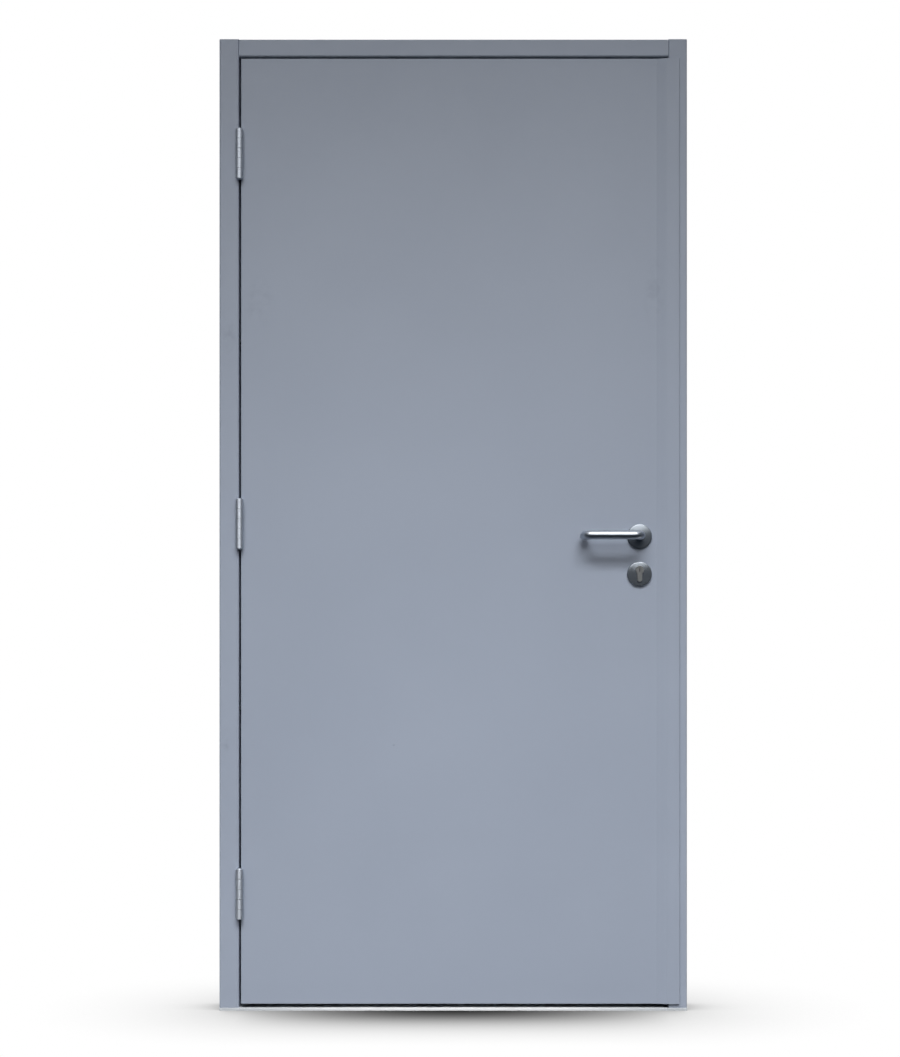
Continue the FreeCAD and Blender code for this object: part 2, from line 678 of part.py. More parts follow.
def make_lock_stile():
    """Channel that closes the lock edge. Its front flange follows the step out to the lip."""
    section = folded_sheet([
        (JOGGLE_START - STILE_FLANGE / 2, SKIN_INSIDE, 0),
        (JOGGLE_HIDDEN_START, SKIN_INSIDE, JOGGLE_HIDDEN_BEND),
        (LOCK_EDGE, joggle_inside(LOCK_EDGE), SKIN_BEND),
        (LOCK_EDGE, BACK_SKIN_INSIDE, SKIN_BEND),
        (LOCK_EDGE - STILE_FLANGE, BACK_SKIN_INSIDE, 0),
    ], STILE_GAUGE, plan)
    bottom = LEAF_BOTTOM + CAP_FLANGE
    section.translate(vector(0, 0, bottom))
    stile = section.extrude(vector(0, 0, LEAF_TOP - CAP_FLANGE - bottom))
    window = slot_prism(
        LOCK_EDGE - STILE_GAUGE - 1, STILE_GAUGE + 2, LOCK_CENTRE_Y, LOCK_CENTRE,
        FOREND_WIDTH + 2 * SHEET_CLEARANCE, FOREND_LENGTH + 2 * SHEET_CLEARANCE, FOREND_WIDTH / 2 - 1,
    )
    return stile.cut(window)


def make_cap(z_plate, z_flange):
    """Pressed cap that closes one end of the leaf between the skins."""
    plate = leaf_inside()
    plate.translate(vector(0, 0, min(z_plate, z_plate + math.copysign(CAP_GAUGE, z_flange - z_plate))))
    plate = plate.extrude(vector(0, 0, CAP_GAUGE))
    low = min(z_plate, z_flange)
    high = max(z_plate, z_flange)
    back = BACK_SKIN_INSIDE - SKIN_GAUGE
    front_flange = block(
        HINGE_SKIN_INSIDE + SKIN_BEND, JOGGLE_START - SKIN_BEND, SKIN_INSIDE, SKIN_INSIDE + CAP_GAUGE,
        low, high,
    )
    back_flange = block(HINGE_SKIN_INSIDE + SKIN_BEND, LOCK_EDGE, back - CAP_GAUGE, back, low, high)
    lock_end = block(
        LOCK_EDGE - CAP_GAUGE, LOCK_EDGE, SKIN_INSIDE, BACK_SKIN_INSIDE, low, high,
    )
    return joined([plate, front_flange, back_flange, lock_end])


def make_top_cap():
    return make_cap(LEAF_TOP, LEAF_TOP - CAP_FLANGE)


def make_bottom_cap():
    return make_cap(LEAF_BOTTOM, LEAF_BOTTOM + CAP_FLANGE)


def lock_pocket():
    """Room in the core for the lock case."""
    half = LOCK_CASE_THICKNESS / 2 + LOCK_POCKET_CLEARANCE
    case_half = LOCK_CASE_LENGTH / 2 + LOCK_POCKET_CLEARANCE
    right = LOCK_EDGE
    return block(
        right - LOCK_CASE_DEPTH - LOCK_POCKET_CLEARANCE, right, LOCK_CENTRE_Y - half, LOCK_CENTRE_Y + half,
        LOCK_CENTRE - case_half, LOCK_CENTRE + case_half,
    )


def make_leaf_core():
    """Rigid core between the skins, the stiles and the caps."""
    low = LEAF_BOTTOM + CAP_FLANGE
    high = LEAF_TOP - CAP_FLANGE
    left = HINGE_SKIN_INSIDE + STILE_GAUGE
    right = LOCK_EDGE - STILE_GAUGE
    front = SKIN_INSIDE + STILE_GAUGE
    back = BACK_SKIN_INSIDE - SKIN_GAUGE - STILE_GAUGE
    between = block(left, right, front, back, low, high)
    upright = [edge for edge in between.Edges if edge.Length > high - low - 1]
    between = between.makeChamfer(SKIN_BEND, upright)
    middle = block(
        HINGE_SKIN_INSIDE + STILE_FLANGE, LOCK_EDGE - STILE_FLANGE - JOGGLE_WIDTH,
        SKIN_INSIDE, BACK_SKIN_INSIDE, low, high,
    )
    core = joined([between, middle])
    forend_room = block(
        right - FOREND_THICKNESS, right + 1, LOCK_CENTRE_Y - FOREND_WIDTH / 2, LOCK_CENTRE_Y + FOREND_WIDTH / 2,
        LOCK_CENTRE - FOREND_LENGTH / 2, LOCK_CENTRE + FOREND_LENGTH / 2,
    )
    cuts = [lock_pocket(), forend_room]
    cuts.extend(through_holes(OUTSIDE, LEAF_BACK))
    for height in HINGE_HEIGHTS:
        cuts.extend(hinge_holes(height, left - 1, HINGE_HOLE_PITCH))
    for height in DOG_BOLT_HEIGHTS:
        start = vector(left - 1, dog_bolt_y(), height)
        cuts.append(rod(start, vector(1, 0, 0), DOG_BOLT_RADIUS + SHEET_CLEARANCE, DOG_BOLT_SHANK + 1))
    return core.cut(cuts)


def make_dog_bolts():
    """Studs on the hinge edge that stand in the jamb when the leaf is shut."""
    bolts = []
    left = vector(-1, 0, 0)
    for height in DOG_BOLT_HEIGHTS:
        root_x = HINGE_SKIN_INSIDE + DOG_BOLT_SHANK
        stud = rod(
            vector(root_x, dog_bolt_y(), height), left, DOG_BOLT_RADIUS,
            root_x - HINGE_EDGE + DOG_BOLT_REACH,
        )
        tip = [edge for edge in stud.Edges if edge.CenterOfMass.x < HINGE_EDGE - DOG_BOLT_REACH / 2]
        bolts.append(stud.makeChamfer(DOG_BOLT_TIP, [tip[0]]))
    return Part.makeCompound(bolts)


# Hinges

def knuckle_spans(z):
    """Bottom and top of each knuckle of one hinge, lowest first."""
    pitch = (HINGE_LENGTH + KNUCKLE_GAP) / KNUCKLE_COUNT
    bottom = z - HINGE_LENGTH / 2
    return [(bottom + pitch * step, bottom + pitch * (step + 1) - KNUCKLE_GAP) for step in range(KNUCKLE_COUNT)]


def make_hinge_leaf(z, plate_x0, own_first):
    """One plate of a hinge with its knuckles. Every second knuckle belongs to the other plate."""
    up = vector(0, 0, 1)
    half = HINGE_LENGTH / 2
    spans = knuckle_spans(z)
    plate = block(
        plate_x0, plate_x0 + HINGE_PLATE, HINGE_AXIS_Y, hinge_plate_back(), z - half, z + half,
    )
    sweep = KNUCKLE_RADIUS + KNUCKLE_SWEEP_CLEARANCE
    room = []
    for low, high in spans[1 - own_first::2]:
        start = vector(HINGE_AXIS_X, HINGE_AXIS_Y, low - KNUCKLE_GAP)
        room.append(rod(start, up, sweep, high - low + 2 * KNUCKLE_GAP))
    plate = plate.cut(room)
    knuckles = [
        rod(vector(HINGE_AXIS_X, HINGE_AXIS_Y, low), up, KNUCKLE_RADIUS, high - low)
        for low, high in spans[own_first::2]
    ]
    leaf = joined([plate] + knuckles)
    bore = rod(
        vector(HINGE_AXIS_X, HINGE_AXIS_Y, z - half - 1), up, PIN_RADIUS + PIN_CLEARANCE, HINGE_LENGTH + 2,
    )
    return leaf.cut([bore] + hinge_holes(z, plate_x0 - 1, HINGE_PLATE + 2))


def make_hinge_frame_leaf(z):
    return make_hinge_leaf(z, HINGE_WEB - FRAME_GAUGE, 0)


def make_hinge_door_leaf(z):
    return make_hinge_leaf(z, HINGE_SKIN_INSIDE - HINGE_PLATE, 1)


def make_hinge_pin(z):
    """Pin with a low coned head at each end."""
    half = HINGE_LENGTH / 2
    up = vector(0, 0, 1)
    top = vector(HINGE_AXIS_X, HINGE_AXIS_Y, z + half)
    bottom = vector(HINGE_AXIS_X, HINGE_AXIS_Y, z - half)
    return joined([
        rod(bottom, up, PIN_RADIUS, HINGE_LENGTH),
        Part.makeCone(PIN_HEAD_RADIUS, PIN_HEAD_TOP_RADIUS, PIN_HEAD_HEIGHT, top, up),
        Part.makeCone(PIN_HEAD_RADIUS, PIN_HEAD_TOP_RADIUS, PIN_HEAD_HEIGHT, bottom, up * -1),
    ])


# Lock

def bolt_rooms(clearance):
    """Channels in the lock for its two bolts."""
    rooms = []
    for centre, width, height, length in (
        (LATCH_CENTRE, LATCH_WIDTH, LATCH_HEIGHT, LATCH_LENGTH),
        (DEAD_BOLT_CENTRE, DEAD_BOLT_WIDTH, DEAD_BOLT_HEIGHT, DEAD_BOLT_LENGTH),
    ):
        rooms.append(block(
            LOCK_EDGE - length - clearance, LOCK_EDGE + 1,
            LOCK_CENTRE_Y - width / 2 - clearance, LOCK_CENTRE_Y + width / 2 + clearance,
            centre - height / 2 - clearance, centre + height / 2 + clearance,
        ))
    return rooms


def make_mortice_lock():
    """Lock case let into the edge of the leaf behind its forend."""
    forend = slot_prism(
        LOCK_EDGE - FOREND_THICKNESS, FOREND_THICKNESS, LOCK_CENTRE_Y, LOCK_CENTRE,
        FOREND_WIDTH, FOREND_LENGTH, FOREND_WIDTH / 2 - 1,
    )
    case_half = LOCK_CASE_LENGTH / 2
    case = block(
        LOCK_EDGE - LOCK_CASE_DEPTH, LOCK_EDGE - FOREND_THICKNESS,
        LOCK_CENTRE_Y - LOCK_CASE_THICKNESS / 2, LOCK_CENTRE_Y + LOCK_CASE_THICKNESS / 2,
        LOCK_CENTRE - case_half, LOCK_CENTRE + case_half,
    )
    lock = joined([forend, case])
    cuts = bolt_rooms(BOLT_CLEARANCE)
    cuts.extend(through_holes(OUTSIDE, LEAF_BACK))
    return lock.cut(cuts)


def make_latch_bolt():
    """Sprung latch, drawn in flush with the forend."""
    return block(
        LOCK_EDGE - LATCH_LENGTH, LOCK_EDGE, LOCK_CENTRE_Y - LATCH_WIDTH / 2, LOCK_CENTRE_Y + LATCH_WIDTH / 2,
        LATCH_CENTRE - LATCH_HEIGHT / 2, LATCH_CENTRE + LATCH_HEIGHT / 2,
    )


def make_dead_bolt():
    """Dead bolt, drawn in flush with the forend."""
    return block(
        LOCK_EDGE - DEAD_BOLT_LENGTH, LOCK_EDGE,
        LOCK_CENTRE_Y - DEAD_BOLT_WIDTH / 2, LOCK_CENTRE_Y + DEAD_BOLT_WIDTH / 2,
        DEAD_BOLT_CENTRE - DEAD_BOLT_HEIGHT / 2, DEAD_BOLT_CENTRE + DEAD_BOLT_HEIGHT / 2,
    )


def profile_prism(clearance, y0, y1):
    """Euro profile, a round head over a narrow leg with a round foot."""
    head = rod(
        vector(HANDLE_X, y0, CYLINDER_HEIGHT), vector(0, 1, 0), PROFILE_HEAD_RADIUS + clearance, y1 - y0,
    )
    foot_z = CYLINDER_HEIGHT + PROFILE_HEAD_RADIUS - PROFILE_HEIGHT + PROFILE_LEG_RADIUS
    foot = rod(vector(HANDLE_X, y0, foot_z), vector(0, 1, 0), PROFILE_LEG_RADIUS + clearance, y1 - y0)
    half = PROFILE_LEG_RADIUS + clearance
    leg = block(HANDLE_X - half, HANDLE_X + half, y0, y1, foot_z, CYLINDER_HEIGHT)
    return joined([head, leg, foot])


def make_lock_cylinder():
    y0 = OUTSIDE - ROSE_THICKNESS - CYLINDER_PROUD
    y1 = LEAF_BACK + ROSE_THICKNESS + CYLINDER_PROUD
    body = profile_prism(0, y0, y1)
    radius = PLUG_RADIUS + PLUG_CLEARANCE
    outer = rod(vector(HANDLE_X, y0 - 1, CYLINDER_HEIGHT), vector(0, 1, 0), radius, PLUG_LENGTH + 1)
    inner = rod(vector(HANDLE_X, y1 + 1, CYLINDER_HEIGHT), vector(0, -1, 0), radius, PLUG_LENGTH + 1)
    return body.cut([outer, inner])


def make_cylinder_plugs():
    """Turning plugs at both ends of the cylinder, each with its keyway."""
    plugs = []
    y0 = OUTSIDE - ROSE_THICKNESS - CYLINDER_PROUD
    y1 = LEAF_BACK + ROSE_THICKNESS + CYLINDER_PROUD
    for face_y, inward in ((y0, 1), (y1, -1)):
        plug = rod(vector(HANDLE_X, face_y, CYLINDER_HEIGHT), vector(0, inward, 0), PLUG_RADIUS, PLUG_LENGTH)
        low = min(face_y - inward, face_y + inward * KEYWAY_DEPTH)
        high = max(face_y - inward, face_y + inward * KEYWAY_DEPTH)
        keyway = block(
            HANDLE_X - KEYWAY_WIDTH / 2, HANDLE_X + KEYWAY_WIDTH / 2, low, high,
            CYLINDER_HEIGHT - KEYWAY_HEIGHT / 2, CYLINDER_HEIGHT + KEYWAY_HEIGHT / 2,
        )
        plugs.append(plug.cut(keyway))
    return Part.makeCompound(plugs)


# Handles

def rose(face_y, outward, centre_z):
    """Round cover, flat on the leaf, with a low crown and a softened rim."""
    def place(across, out):
        return vector(HANDLE_X + across, face_y + outward * out, centre_z)
    crown_radius = (ROSE_RADIUS ** 2 + ROSE_CROWN ** 2) / (2 * ROSE_CROWN)
    crown_centre = ROSE_THICKNESS - crown_radius
    rim_inset = ROSE_RADIUS - ROSE_EDGE
    rim_centre = crown_centre + math.sqrt((crown_radius - ROSE_EDGE) ** 2 - rim_inset ** 2)
    crown_angle = math.atan2(rim_inset, rim_centre - crown_centre)

    def on_crown(angle):
        return place(crown_radius * math.sin(angle), crown_centre + crown_radius * math.cos(angle))

    def on_rim(angle):
        return place(rim_inset + ROSE_EDGE * math.sin(angle), rim_centre + ROSE_EDGE * math.cos(angle))
    outline = Part.Wire([
        Part.makeLine(place(0, 0), place(ROSE_RADIUS, 0)),
        Part.makeLine(place(ROSE_RADIUS, 0), place(ROSE_RADIUS, rim_centre)),
        Part.Arc(on_rim(math.pi / 2), on_rim((math.pi / 2 + crown_angle) / 2), on_rim(crown_angle)).toShape(),
        Part.Arc(on_crown(crown_angle), on_crown(crown_angle / 2), on_crown(0)).toShape(),
        Part.makeLine(place(0, ROSE_THICKNESS), place(0, 0)),
    ])
    return Part.Face(outline).revolve(place(0, 0), vector(0, 1, 0), 360)


def make_rose(face_y, outward):
    """Rose of a lever, bored as the bearing of its neck."""
    hole = rod(
        vector(HANDLE_X, face_y - outward, HANDLE_HEIGHT), vector(0, outward, 0),
        BAR_RADIUS + NECK_CLEARANCE, ROSE_THICKNESS + 2,
    )
    return rose(face_y, outward, HANDLE_HEIGHT).cut(hole)


def make_escutcheon(face_y, outward):
    """Cover round the cylinder, of the same disc as the rose."""
    low = min(face_y - outward, face_y + outward * (ROSE_THICKNESS + 1))
    high = max(face_y - outward, face_y + outward * (ROSE_THICKNESS + 1))
    opening = profile_prism(CYLINDER_CLEARANCE, low, high)
    return rose(face_y, outward, CYLINDER_HEIGHT - PROFILE_DROP).cut(opening)


def make_lever(face_y, outward):
    """Round bar that leaves the rose, runs along the leaf and returns towards it."""
    start_y = face_y + outward * NECK_SKIN_CLEARANCE
    bar_y = face_y + outward * BAR_STANDOFF
    end_y = face_y + outward * LEVER_RETURN_CLEARANCE
    tip_x = HANDLE_X - LEVER_REACH
    path = Part.Wire(bent_edges(
        [vector(HANDLE_X, start_y, 0), vector(HANDLE_X, bar_y, 0), vector(tip_x, bar_y, 0), vector(tip_x, end_y, 0)],
        [0, BAR_BEND, BAR_BEND],
        lambda x, y: vector(x, y, HANDLE_HEIGHT),
    ))
    circle = Part.Wire(Part.makeCircle(
        BAR_RADIUS, vector(HANDLE_X, start_y, HANDLE_HEIGHT), vector(0, outward, 0),
    ))
    bar = path.makePipeShell([circle], True, False)
    rim = [
        edge for edge in bar.Edges
        if abs(edge.CenterOfMass.y - end_y) < 0.1 and abs(edge.CenterOfMass.x - tip_x) < 0.1
    ]
    bar = bar.makeFillet(LEVER_TIP_EDGE, rim)
    half = SPINDLE_SIDE / 2
    grip = outward * SPINDLE_GRIP
    socket = block(
        HANDLE_X - half, HANDLE_X + half, min(start_y - outward, start_y + grip),
        max(start_y - outward, start_y + grip), HANDLE_HEIGHT - half, HANDLE_HEIGHT + half,
    )
    return bar.cut(socket)


def make_spindle():
    """Square bar that both levers grip."""
    half = SPINDLE_SIDE / 2
    reach = NECK_SKIN_CLEARANCE + SPINDLE_GRIP
    return block(
        HANDLE_X - half, HANDLE_X + half, OUTSIDE - reach, LEAF_BACK + reach,
        HANDLE_HEIGHT - half, HANDLE_HEIGHT + half,
    )


# Files

def save(name, shape):
    shape.exportStep(os.path.join("parts", name + ".step"))


def main():
    os.makedirs("parts", exist_ok=True)
    save("hinge_jamb", make_hinge_jamb())
    save("lock_jamb", make_lock_jamb())
    save("head", make_head())
    save("threshold", make_threshold())
    save("hinge_side_seal", make_hinge_side_seal())
    save("lock_side_seal", make_lock_side_seal())
    save("head_seal", make_head_seal())
    save("threshold_seal", make_threshold_seal())
    save("hinge_side_straps", make_fixing_straps(-1))
    save("lock_side_straps", make_fixing_straps(1))
    save("hinge_backplates", make_hinge_backplates())
    save("dog_bolt_keeps", make_dog_bolt_keeps())
    save("strike_plate", make_strike_plate())
    save("strike_box", make_strike_box())
    save("outer_skin", make_outer_skin())
    save("inner_skin", make_inner_skin())
    save("hinge_stile", make_hinge_stile())
    save("lock_stile", make_lock_stile())
    save("top_cap", make_top_cap())
    save("bottom_cap", make_bottom_cap())
    save("leaf_core", make_leaf_core())
    save("dog_bolts", make_dog_bolts())
    for name, height in zip(("bottom", "middle", "top"), HINGE_HEIGHTS):
        save(name + "_hinge_frame_leaf", make_hinge_frame_leaf(height))
        save(name + "_hinge_door_leaf", make_hinge_door_leaf(height))
        save(name + "_hinge_pin", make_hinge_pin(height))
    save("mortice_lock", make_mortice_lock())
    save("latch_bolt", make_latch_bolt())
    save("dead_bolt", make_dead_bolt())
    save("lock_cylinder", make_lock_cylinder())
    save("cylinder_plugs", make_cylinder_plugs())
    save("outer_rose", make_rose(OUTSIDE, -1))
    save("inner_rose", make_rose(LEAF_BACK, 1))
    save("outer_escutcheon", make_escutcheon(OUTSIDE, -1))
    save("inner_escutcheon", make_escutcheon(LEAF_BACK, 1))
    save("outer_lever", make_lever(OUTSIDE, -1))
    save("inner_lever", make_lever(LEAF_BACK, 1))
    save("spindle", make_spindle())


main()
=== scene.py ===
# %% [markdown]
# # A steel security door
#
# The door is a single leaf of folded steel sheet in a frame of the same sheet. Both are powder coated in
# one blue grey. Three stainless butt hinges carry the leaf on the left, a lip covers the gap on the right,
# and a bar lever and a keyed cylinder sit on two round brushed covers. A bright aluminium sill closes the foot.
#
# The construction is already made to size and comes in as a fixed frame of named nodes. This script gives
# each node its real finish, adds the small screws, and sets up the studio. Every length is in metres.

# %% Load the frame
import math
import random

import bmesh
import bpy
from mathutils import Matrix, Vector


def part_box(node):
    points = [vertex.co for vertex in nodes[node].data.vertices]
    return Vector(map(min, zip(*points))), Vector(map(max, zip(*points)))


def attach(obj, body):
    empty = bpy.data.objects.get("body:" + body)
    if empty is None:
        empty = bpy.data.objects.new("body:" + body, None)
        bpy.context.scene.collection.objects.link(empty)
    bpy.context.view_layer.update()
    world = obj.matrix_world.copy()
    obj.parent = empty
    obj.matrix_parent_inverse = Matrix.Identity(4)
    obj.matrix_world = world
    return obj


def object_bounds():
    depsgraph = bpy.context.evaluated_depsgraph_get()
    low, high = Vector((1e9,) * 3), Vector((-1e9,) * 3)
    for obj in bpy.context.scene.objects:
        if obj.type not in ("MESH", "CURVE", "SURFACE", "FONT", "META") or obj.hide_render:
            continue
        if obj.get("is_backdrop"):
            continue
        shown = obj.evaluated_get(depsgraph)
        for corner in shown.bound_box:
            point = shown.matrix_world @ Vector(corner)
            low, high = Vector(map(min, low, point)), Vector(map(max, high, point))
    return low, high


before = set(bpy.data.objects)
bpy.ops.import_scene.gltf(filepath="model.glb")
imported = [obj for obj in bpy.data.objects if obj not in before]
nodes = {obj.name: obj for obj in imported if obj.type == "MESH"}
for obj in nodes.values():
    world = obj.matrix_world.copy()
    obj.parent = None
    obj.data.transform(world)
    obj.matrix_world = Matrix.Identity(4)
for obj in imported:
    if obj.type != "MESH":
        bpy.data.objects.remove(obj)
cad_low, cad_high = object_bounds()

MM = 0.001
print(len(nodes), "nodes, from", tuple(round(v, 4) for v in cad_low), "to", tuple(round(v, 4) for v in cad_high))

# %% [markdown]
# ## The camera
#
# The picture was taken square on, with the uprights parallel, so the camera looks straight into the wall
# and the frame is moved up with the lens shift. The bar of the lever seems to sit a few millimetres above
# the middle of its rose. It stands 48 mm in front of it, so the lens was lower than the handle. The
# width of the door in the picture gives the scale, and that gives the lens for a chosen distance.

# %% Camera
PICTURE_WIDTH = 900
PICTURE_HEIGHT = 1057
DOOR_LEFT_PX = 219.35
DOOR_RIGHT_PX = 687.05
FLOOR_PX = 1010.6
LENS_HEIGHT = 0.70
LENS_DISTANCE = 4.2
SENSOR_WIDTH = 36.0

front_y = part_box("hinge_jamb")[0].y
pixels_per_metre = (DOOR_RIGHT_PX - DOOR_LEFT_PX) / (cad_high.x - cad_low.x)
view_width = PICTURE_WIDTH / pixels_per_metre
centre_x = cad_low.x + (PICTURE_WIDTH / 2 - DOOR_LEFT_PX) / pixels_per_metre
centre_z = (FLOOR_PX - PICTURE_HEIGHT / 2) / pixels_per_metre

lens = bpy.data.cameras.new("camera")
lens.sensor_fit = "HORIZONTAL"
lens.sensor_width = SENSOR_WIDTH
lens.lens = SENSOR_WIDTH * LENS_DISTANCE / view_width
lens.shift_y = (centre_z - LENS_HEIGHT) / view_width
camera = bpy.data.objects.new("camera", lens)
camera.location = (centre_x, front_y - LENS_DISTANCE, LENS_HEIGHT)
camera.rotation_euler = (math.radians(90), 0, 0)
bpy.context.scene.collection.objects.link(camera)
bpy.context.scene.camera = camera
print("lens", round(lens.lens, 1), "mm, shift", round(lens.shift_y, 3))

# %% [markdown]
# ## Colour and node helpers
#
# Colours are written as sRGB hex values, the way a paint chart gives them, and turned to linear light here.
# A material is a small tree of nodes. One helper adds a node, sets its options and feeds its inputs, each
# with a plain value or with the output of another node.

# %% Helpers for materials
def linear(hex_colour):
    """Linear red, green, blue and alpha from an sRGB hex value."""
    channels = [int(hex_colour[i:i + 2], 16) / 255 for i in (1, 3, 5)]
    return [c / 12.92 if c <= 0.04045 else ((c + 0.055) / 1.055) ** 2.4 for c in channels] + [1.0]


def add_node(tree, kind, inputs=None, **options):
    """Add one node. Options are its own settings, inputs are values or outputs by the name of the socket."""
    node = tree.nodes.new(kind)
    for name, value in options.items():
        setattr(node, name, value)
    for name, value in (inputs or {}).items():
        if isinstance(value, bpy.types.NodeSocket):
            tree.links.new(value, node.inputs[name])
        else:
            node.inputs[name].default_value = value
    return node


def start_material(name):
    """A new material with an empty tree, its shader, and the place on the object in metres."""
    material = bpy.data.materials.new(name)
    material.use_nodes = True
    tree = material.node_tree
    tree.nodes.clear()
    shader = add_node(tree, "ShaderNodeBsdfPrincipled")
    add_node(tree, "ShaderNodeOutputMaterial", {"Surface": shader.outputs["BSDF"]})
    place = add_node(tree, "ShaderNodeTexCoord").outputs["Object"]
    return material, tree, shader, place


def per_metre(millimetres):
    """Texture scale at which one feature is that many millimetres wide."""
    return 1 / (millimetres * MM)


# %% [markdown]
# ## Powder coated steel
#
# The leaf and the frame are zinc coated steel sheet, sprayed with polyester powder and baked. The powder
# flows as it melts but not quite flat, which leaves a faint orange peel a few millimetres wide and a soft
# satin gloss. That gives the eye one even blue grey that still isn't dead flat. Years of hands and weather
# add faint darker smudges, so a few are placed where they show, each broken up by noise.

# %% Powder coated steel
PAINT_BASE = "#9AA3B3"
PAINT_DRIFT = "#97A0B0"
PAINT_SMUDGE = "#7F8896"
PEEL_WIDTH_MM = 3.2
PEEL_HEIGHT = 0.012 * MM
DRIFT_WIDTH_MM = 420
SMUDGE_GRAIN_MM = 26

# Each smudge: middle across and up, half width, half height, and how dark it is.
SMUDGES = [
    (0.432, 1.535, 0.034, 0.095, 0.24),
    (-0.415, 1.515, 0.045, 0.075, 0.22),
    (-0.480, 1.445, 0.020, 0.050, 0.45),
    (-0.486, 0.578, 0.014, 0.035, 0.50),
    (-0.127, 0.568, 0.004, 0.004, 0.60),
]


def smudge_mask(tree, place, smudge):
    """White inside one soft oval on the face, black outside."""
    across, up, half_width, half_height, strength = smudge
    offset = add_node(tree, "ShaderNodeVectorMath", {0: place, 1: (across, 0, up)}, operation="SUBTRACT")
    scaled = add_node(
        tree, "ShaderNodeVectorMath", {0: offset.outputs[0], 1: (1 / half_width, 0, 1 / half_height)},
        operation="MULTIPLY",
    )
    distance = add_node(tree, "ShaderNodeVectorMath", {0: scaled.outputs[0]}, operation="LENGTH")
    inside = add_node(
        tree, "ShaderNodeMapRange",
        {"Value": distance.outputs["Value"], "From Min": 0.2, "From Max": 1.0, "To Min": strength, "To Max": 0.0},
        interpolation_type="SMOOTHSTEP",
    )
    return inside.outputs["Result"]


def powder_coated_steel():
    material, tree, shader, place = start_material("powder_coated_steel")
    drift = add_node(
        tree, "ShaderNodeTexNoise", {"Vector": place, "Scale": per_metre(DRIFT_WIDTH_MM), "Detail": 2.0},
    )
    drift_range = add_node(
        tree, "ShaderNodeMapRange", {"Value": drift.outputs["Fac"], "From Min": 0.35, "From Max": 0.65},
    )
    base = add_node(
        tree, "ShaderNodeMix",
        {"Factor": drift_range.outputs["Result"], "A": linear(PAINT_BASE), "B": linear(PAINT_DRIFT)},
        data_type="RGBA",
    )
    grime = None
    for smudge in SMUDGES:
        mask = smudge_mask(tree, place, smudge)
        if grime is None:
            grime = mask
        else:
            grime = add_node(tree, "ShaderNodeMath", {0: grime, 1: mask}, operation="MAXIMUM").outputs[0]
    grain = add_node(
        tree, "ShaderNodeTexNoise",
        {"Vector": place, "Scale": per_metre(SMUDGE_GRAIN_MM), "Detail": 6.0, "Roughness": 0.62},
    )
    broken = add_node(
        tree, "ShaderNodeMapRange",
        {"Value": grain.outputs["Fac"], "From Min": 0.40, "From Max": 0.68},
        interpolation_type="SMOOTHSTEP",
    )
    stain = add_node(tree, "ShaderNodeMath", {0: grime, 1: broken.outputs["Result"]}, operation="MULTIPLY")
    colour = add_node(
        tree, "ShaderNodeMix",
        {"Factor": stain.outputs[0], "A": base.outputs["Result"], "B": linear(PAINT_SMUDGE)},
        data_type="RGBA",
    )
    tree.links.new(colour.outputs["Result"], shader.inputs["Base Color"])
    gloss = add_node(
        tree, "ShaderNodeMapRange",
        {"Value": grain.outputs["Fac"], "From Min": 0.3, "From Max": 0.7, "To Min": 0.40, "To Max": 0.50},
    )
    tree.links.new(gloss.outputs["Result"], shader.inputs["Roughness"])
    peel = add_node(
        tree, "ShaderNodeTexNoise", {"Vector": place, "Scale": per_metre(PEEL_WIDTH_MM), "Detail": 1.5},
    )
    bump = add_node(
        tree, "ShaderNodeBump", {"Height": peel.outputs["Fac"], "Distance": PEEL_HEIGHT, "Strength": 1.0},
    )
    tree.links.new(bump.outputs["Normal"], shader.inputs["Normal"])
    return material


paint = powder_coated_steel()
print("finish", paint.name, "with", len(SMUDGES), "smudges")

# %% [markdown]
# ## Brushed stainless steel
#
# The round covers of the handle and the cylinder are turned and brushed in rings, so each groove runs round
# the disc and throws light out along the radius. They are slightly crowned, so the upper part leans back and
# catches the lamps, and the lower part leans down to the dark floor. The cover of the cylinder is brushed
# finer, which keeps its highlight close to the upper rim. Hands leave a thin dull film on both, so their
# shader is a little less than fully metallic. The turned knuckles of the hinges are brushed round their pins,
# which draws the lamps out into one bright line along each hinge.
#
# An anisotropic shader does all this when its tangent runs along the grooves. The rings themselves are noise
# in the distance from the middle, drawn coarser than the real grit.

# %% Brushed discs
# The covers and the hinges are the same stainless steel as the lever. The darker tones of the covers are painted
# shade, and the lighter tones of the hinges paint their highlight brighter.
STEEL_TONES = ("#A3A9B1", "#BDC3CB")
COVER_SHADED_TONES = ("#7C8289", "#92989F")
HINGE_BRIGHTENED_TONES = ("#B2B8C0", "#CCD2DA")
PIN_SHADE_TONES = ("#3C4044", "#494D51")
RING_WIDTH_MM = 0.9
RING_HEIGHT = 0.004 * MM
RING_GLOSS_SPREAD = 0.05
QUARTER_TURN = 0.25


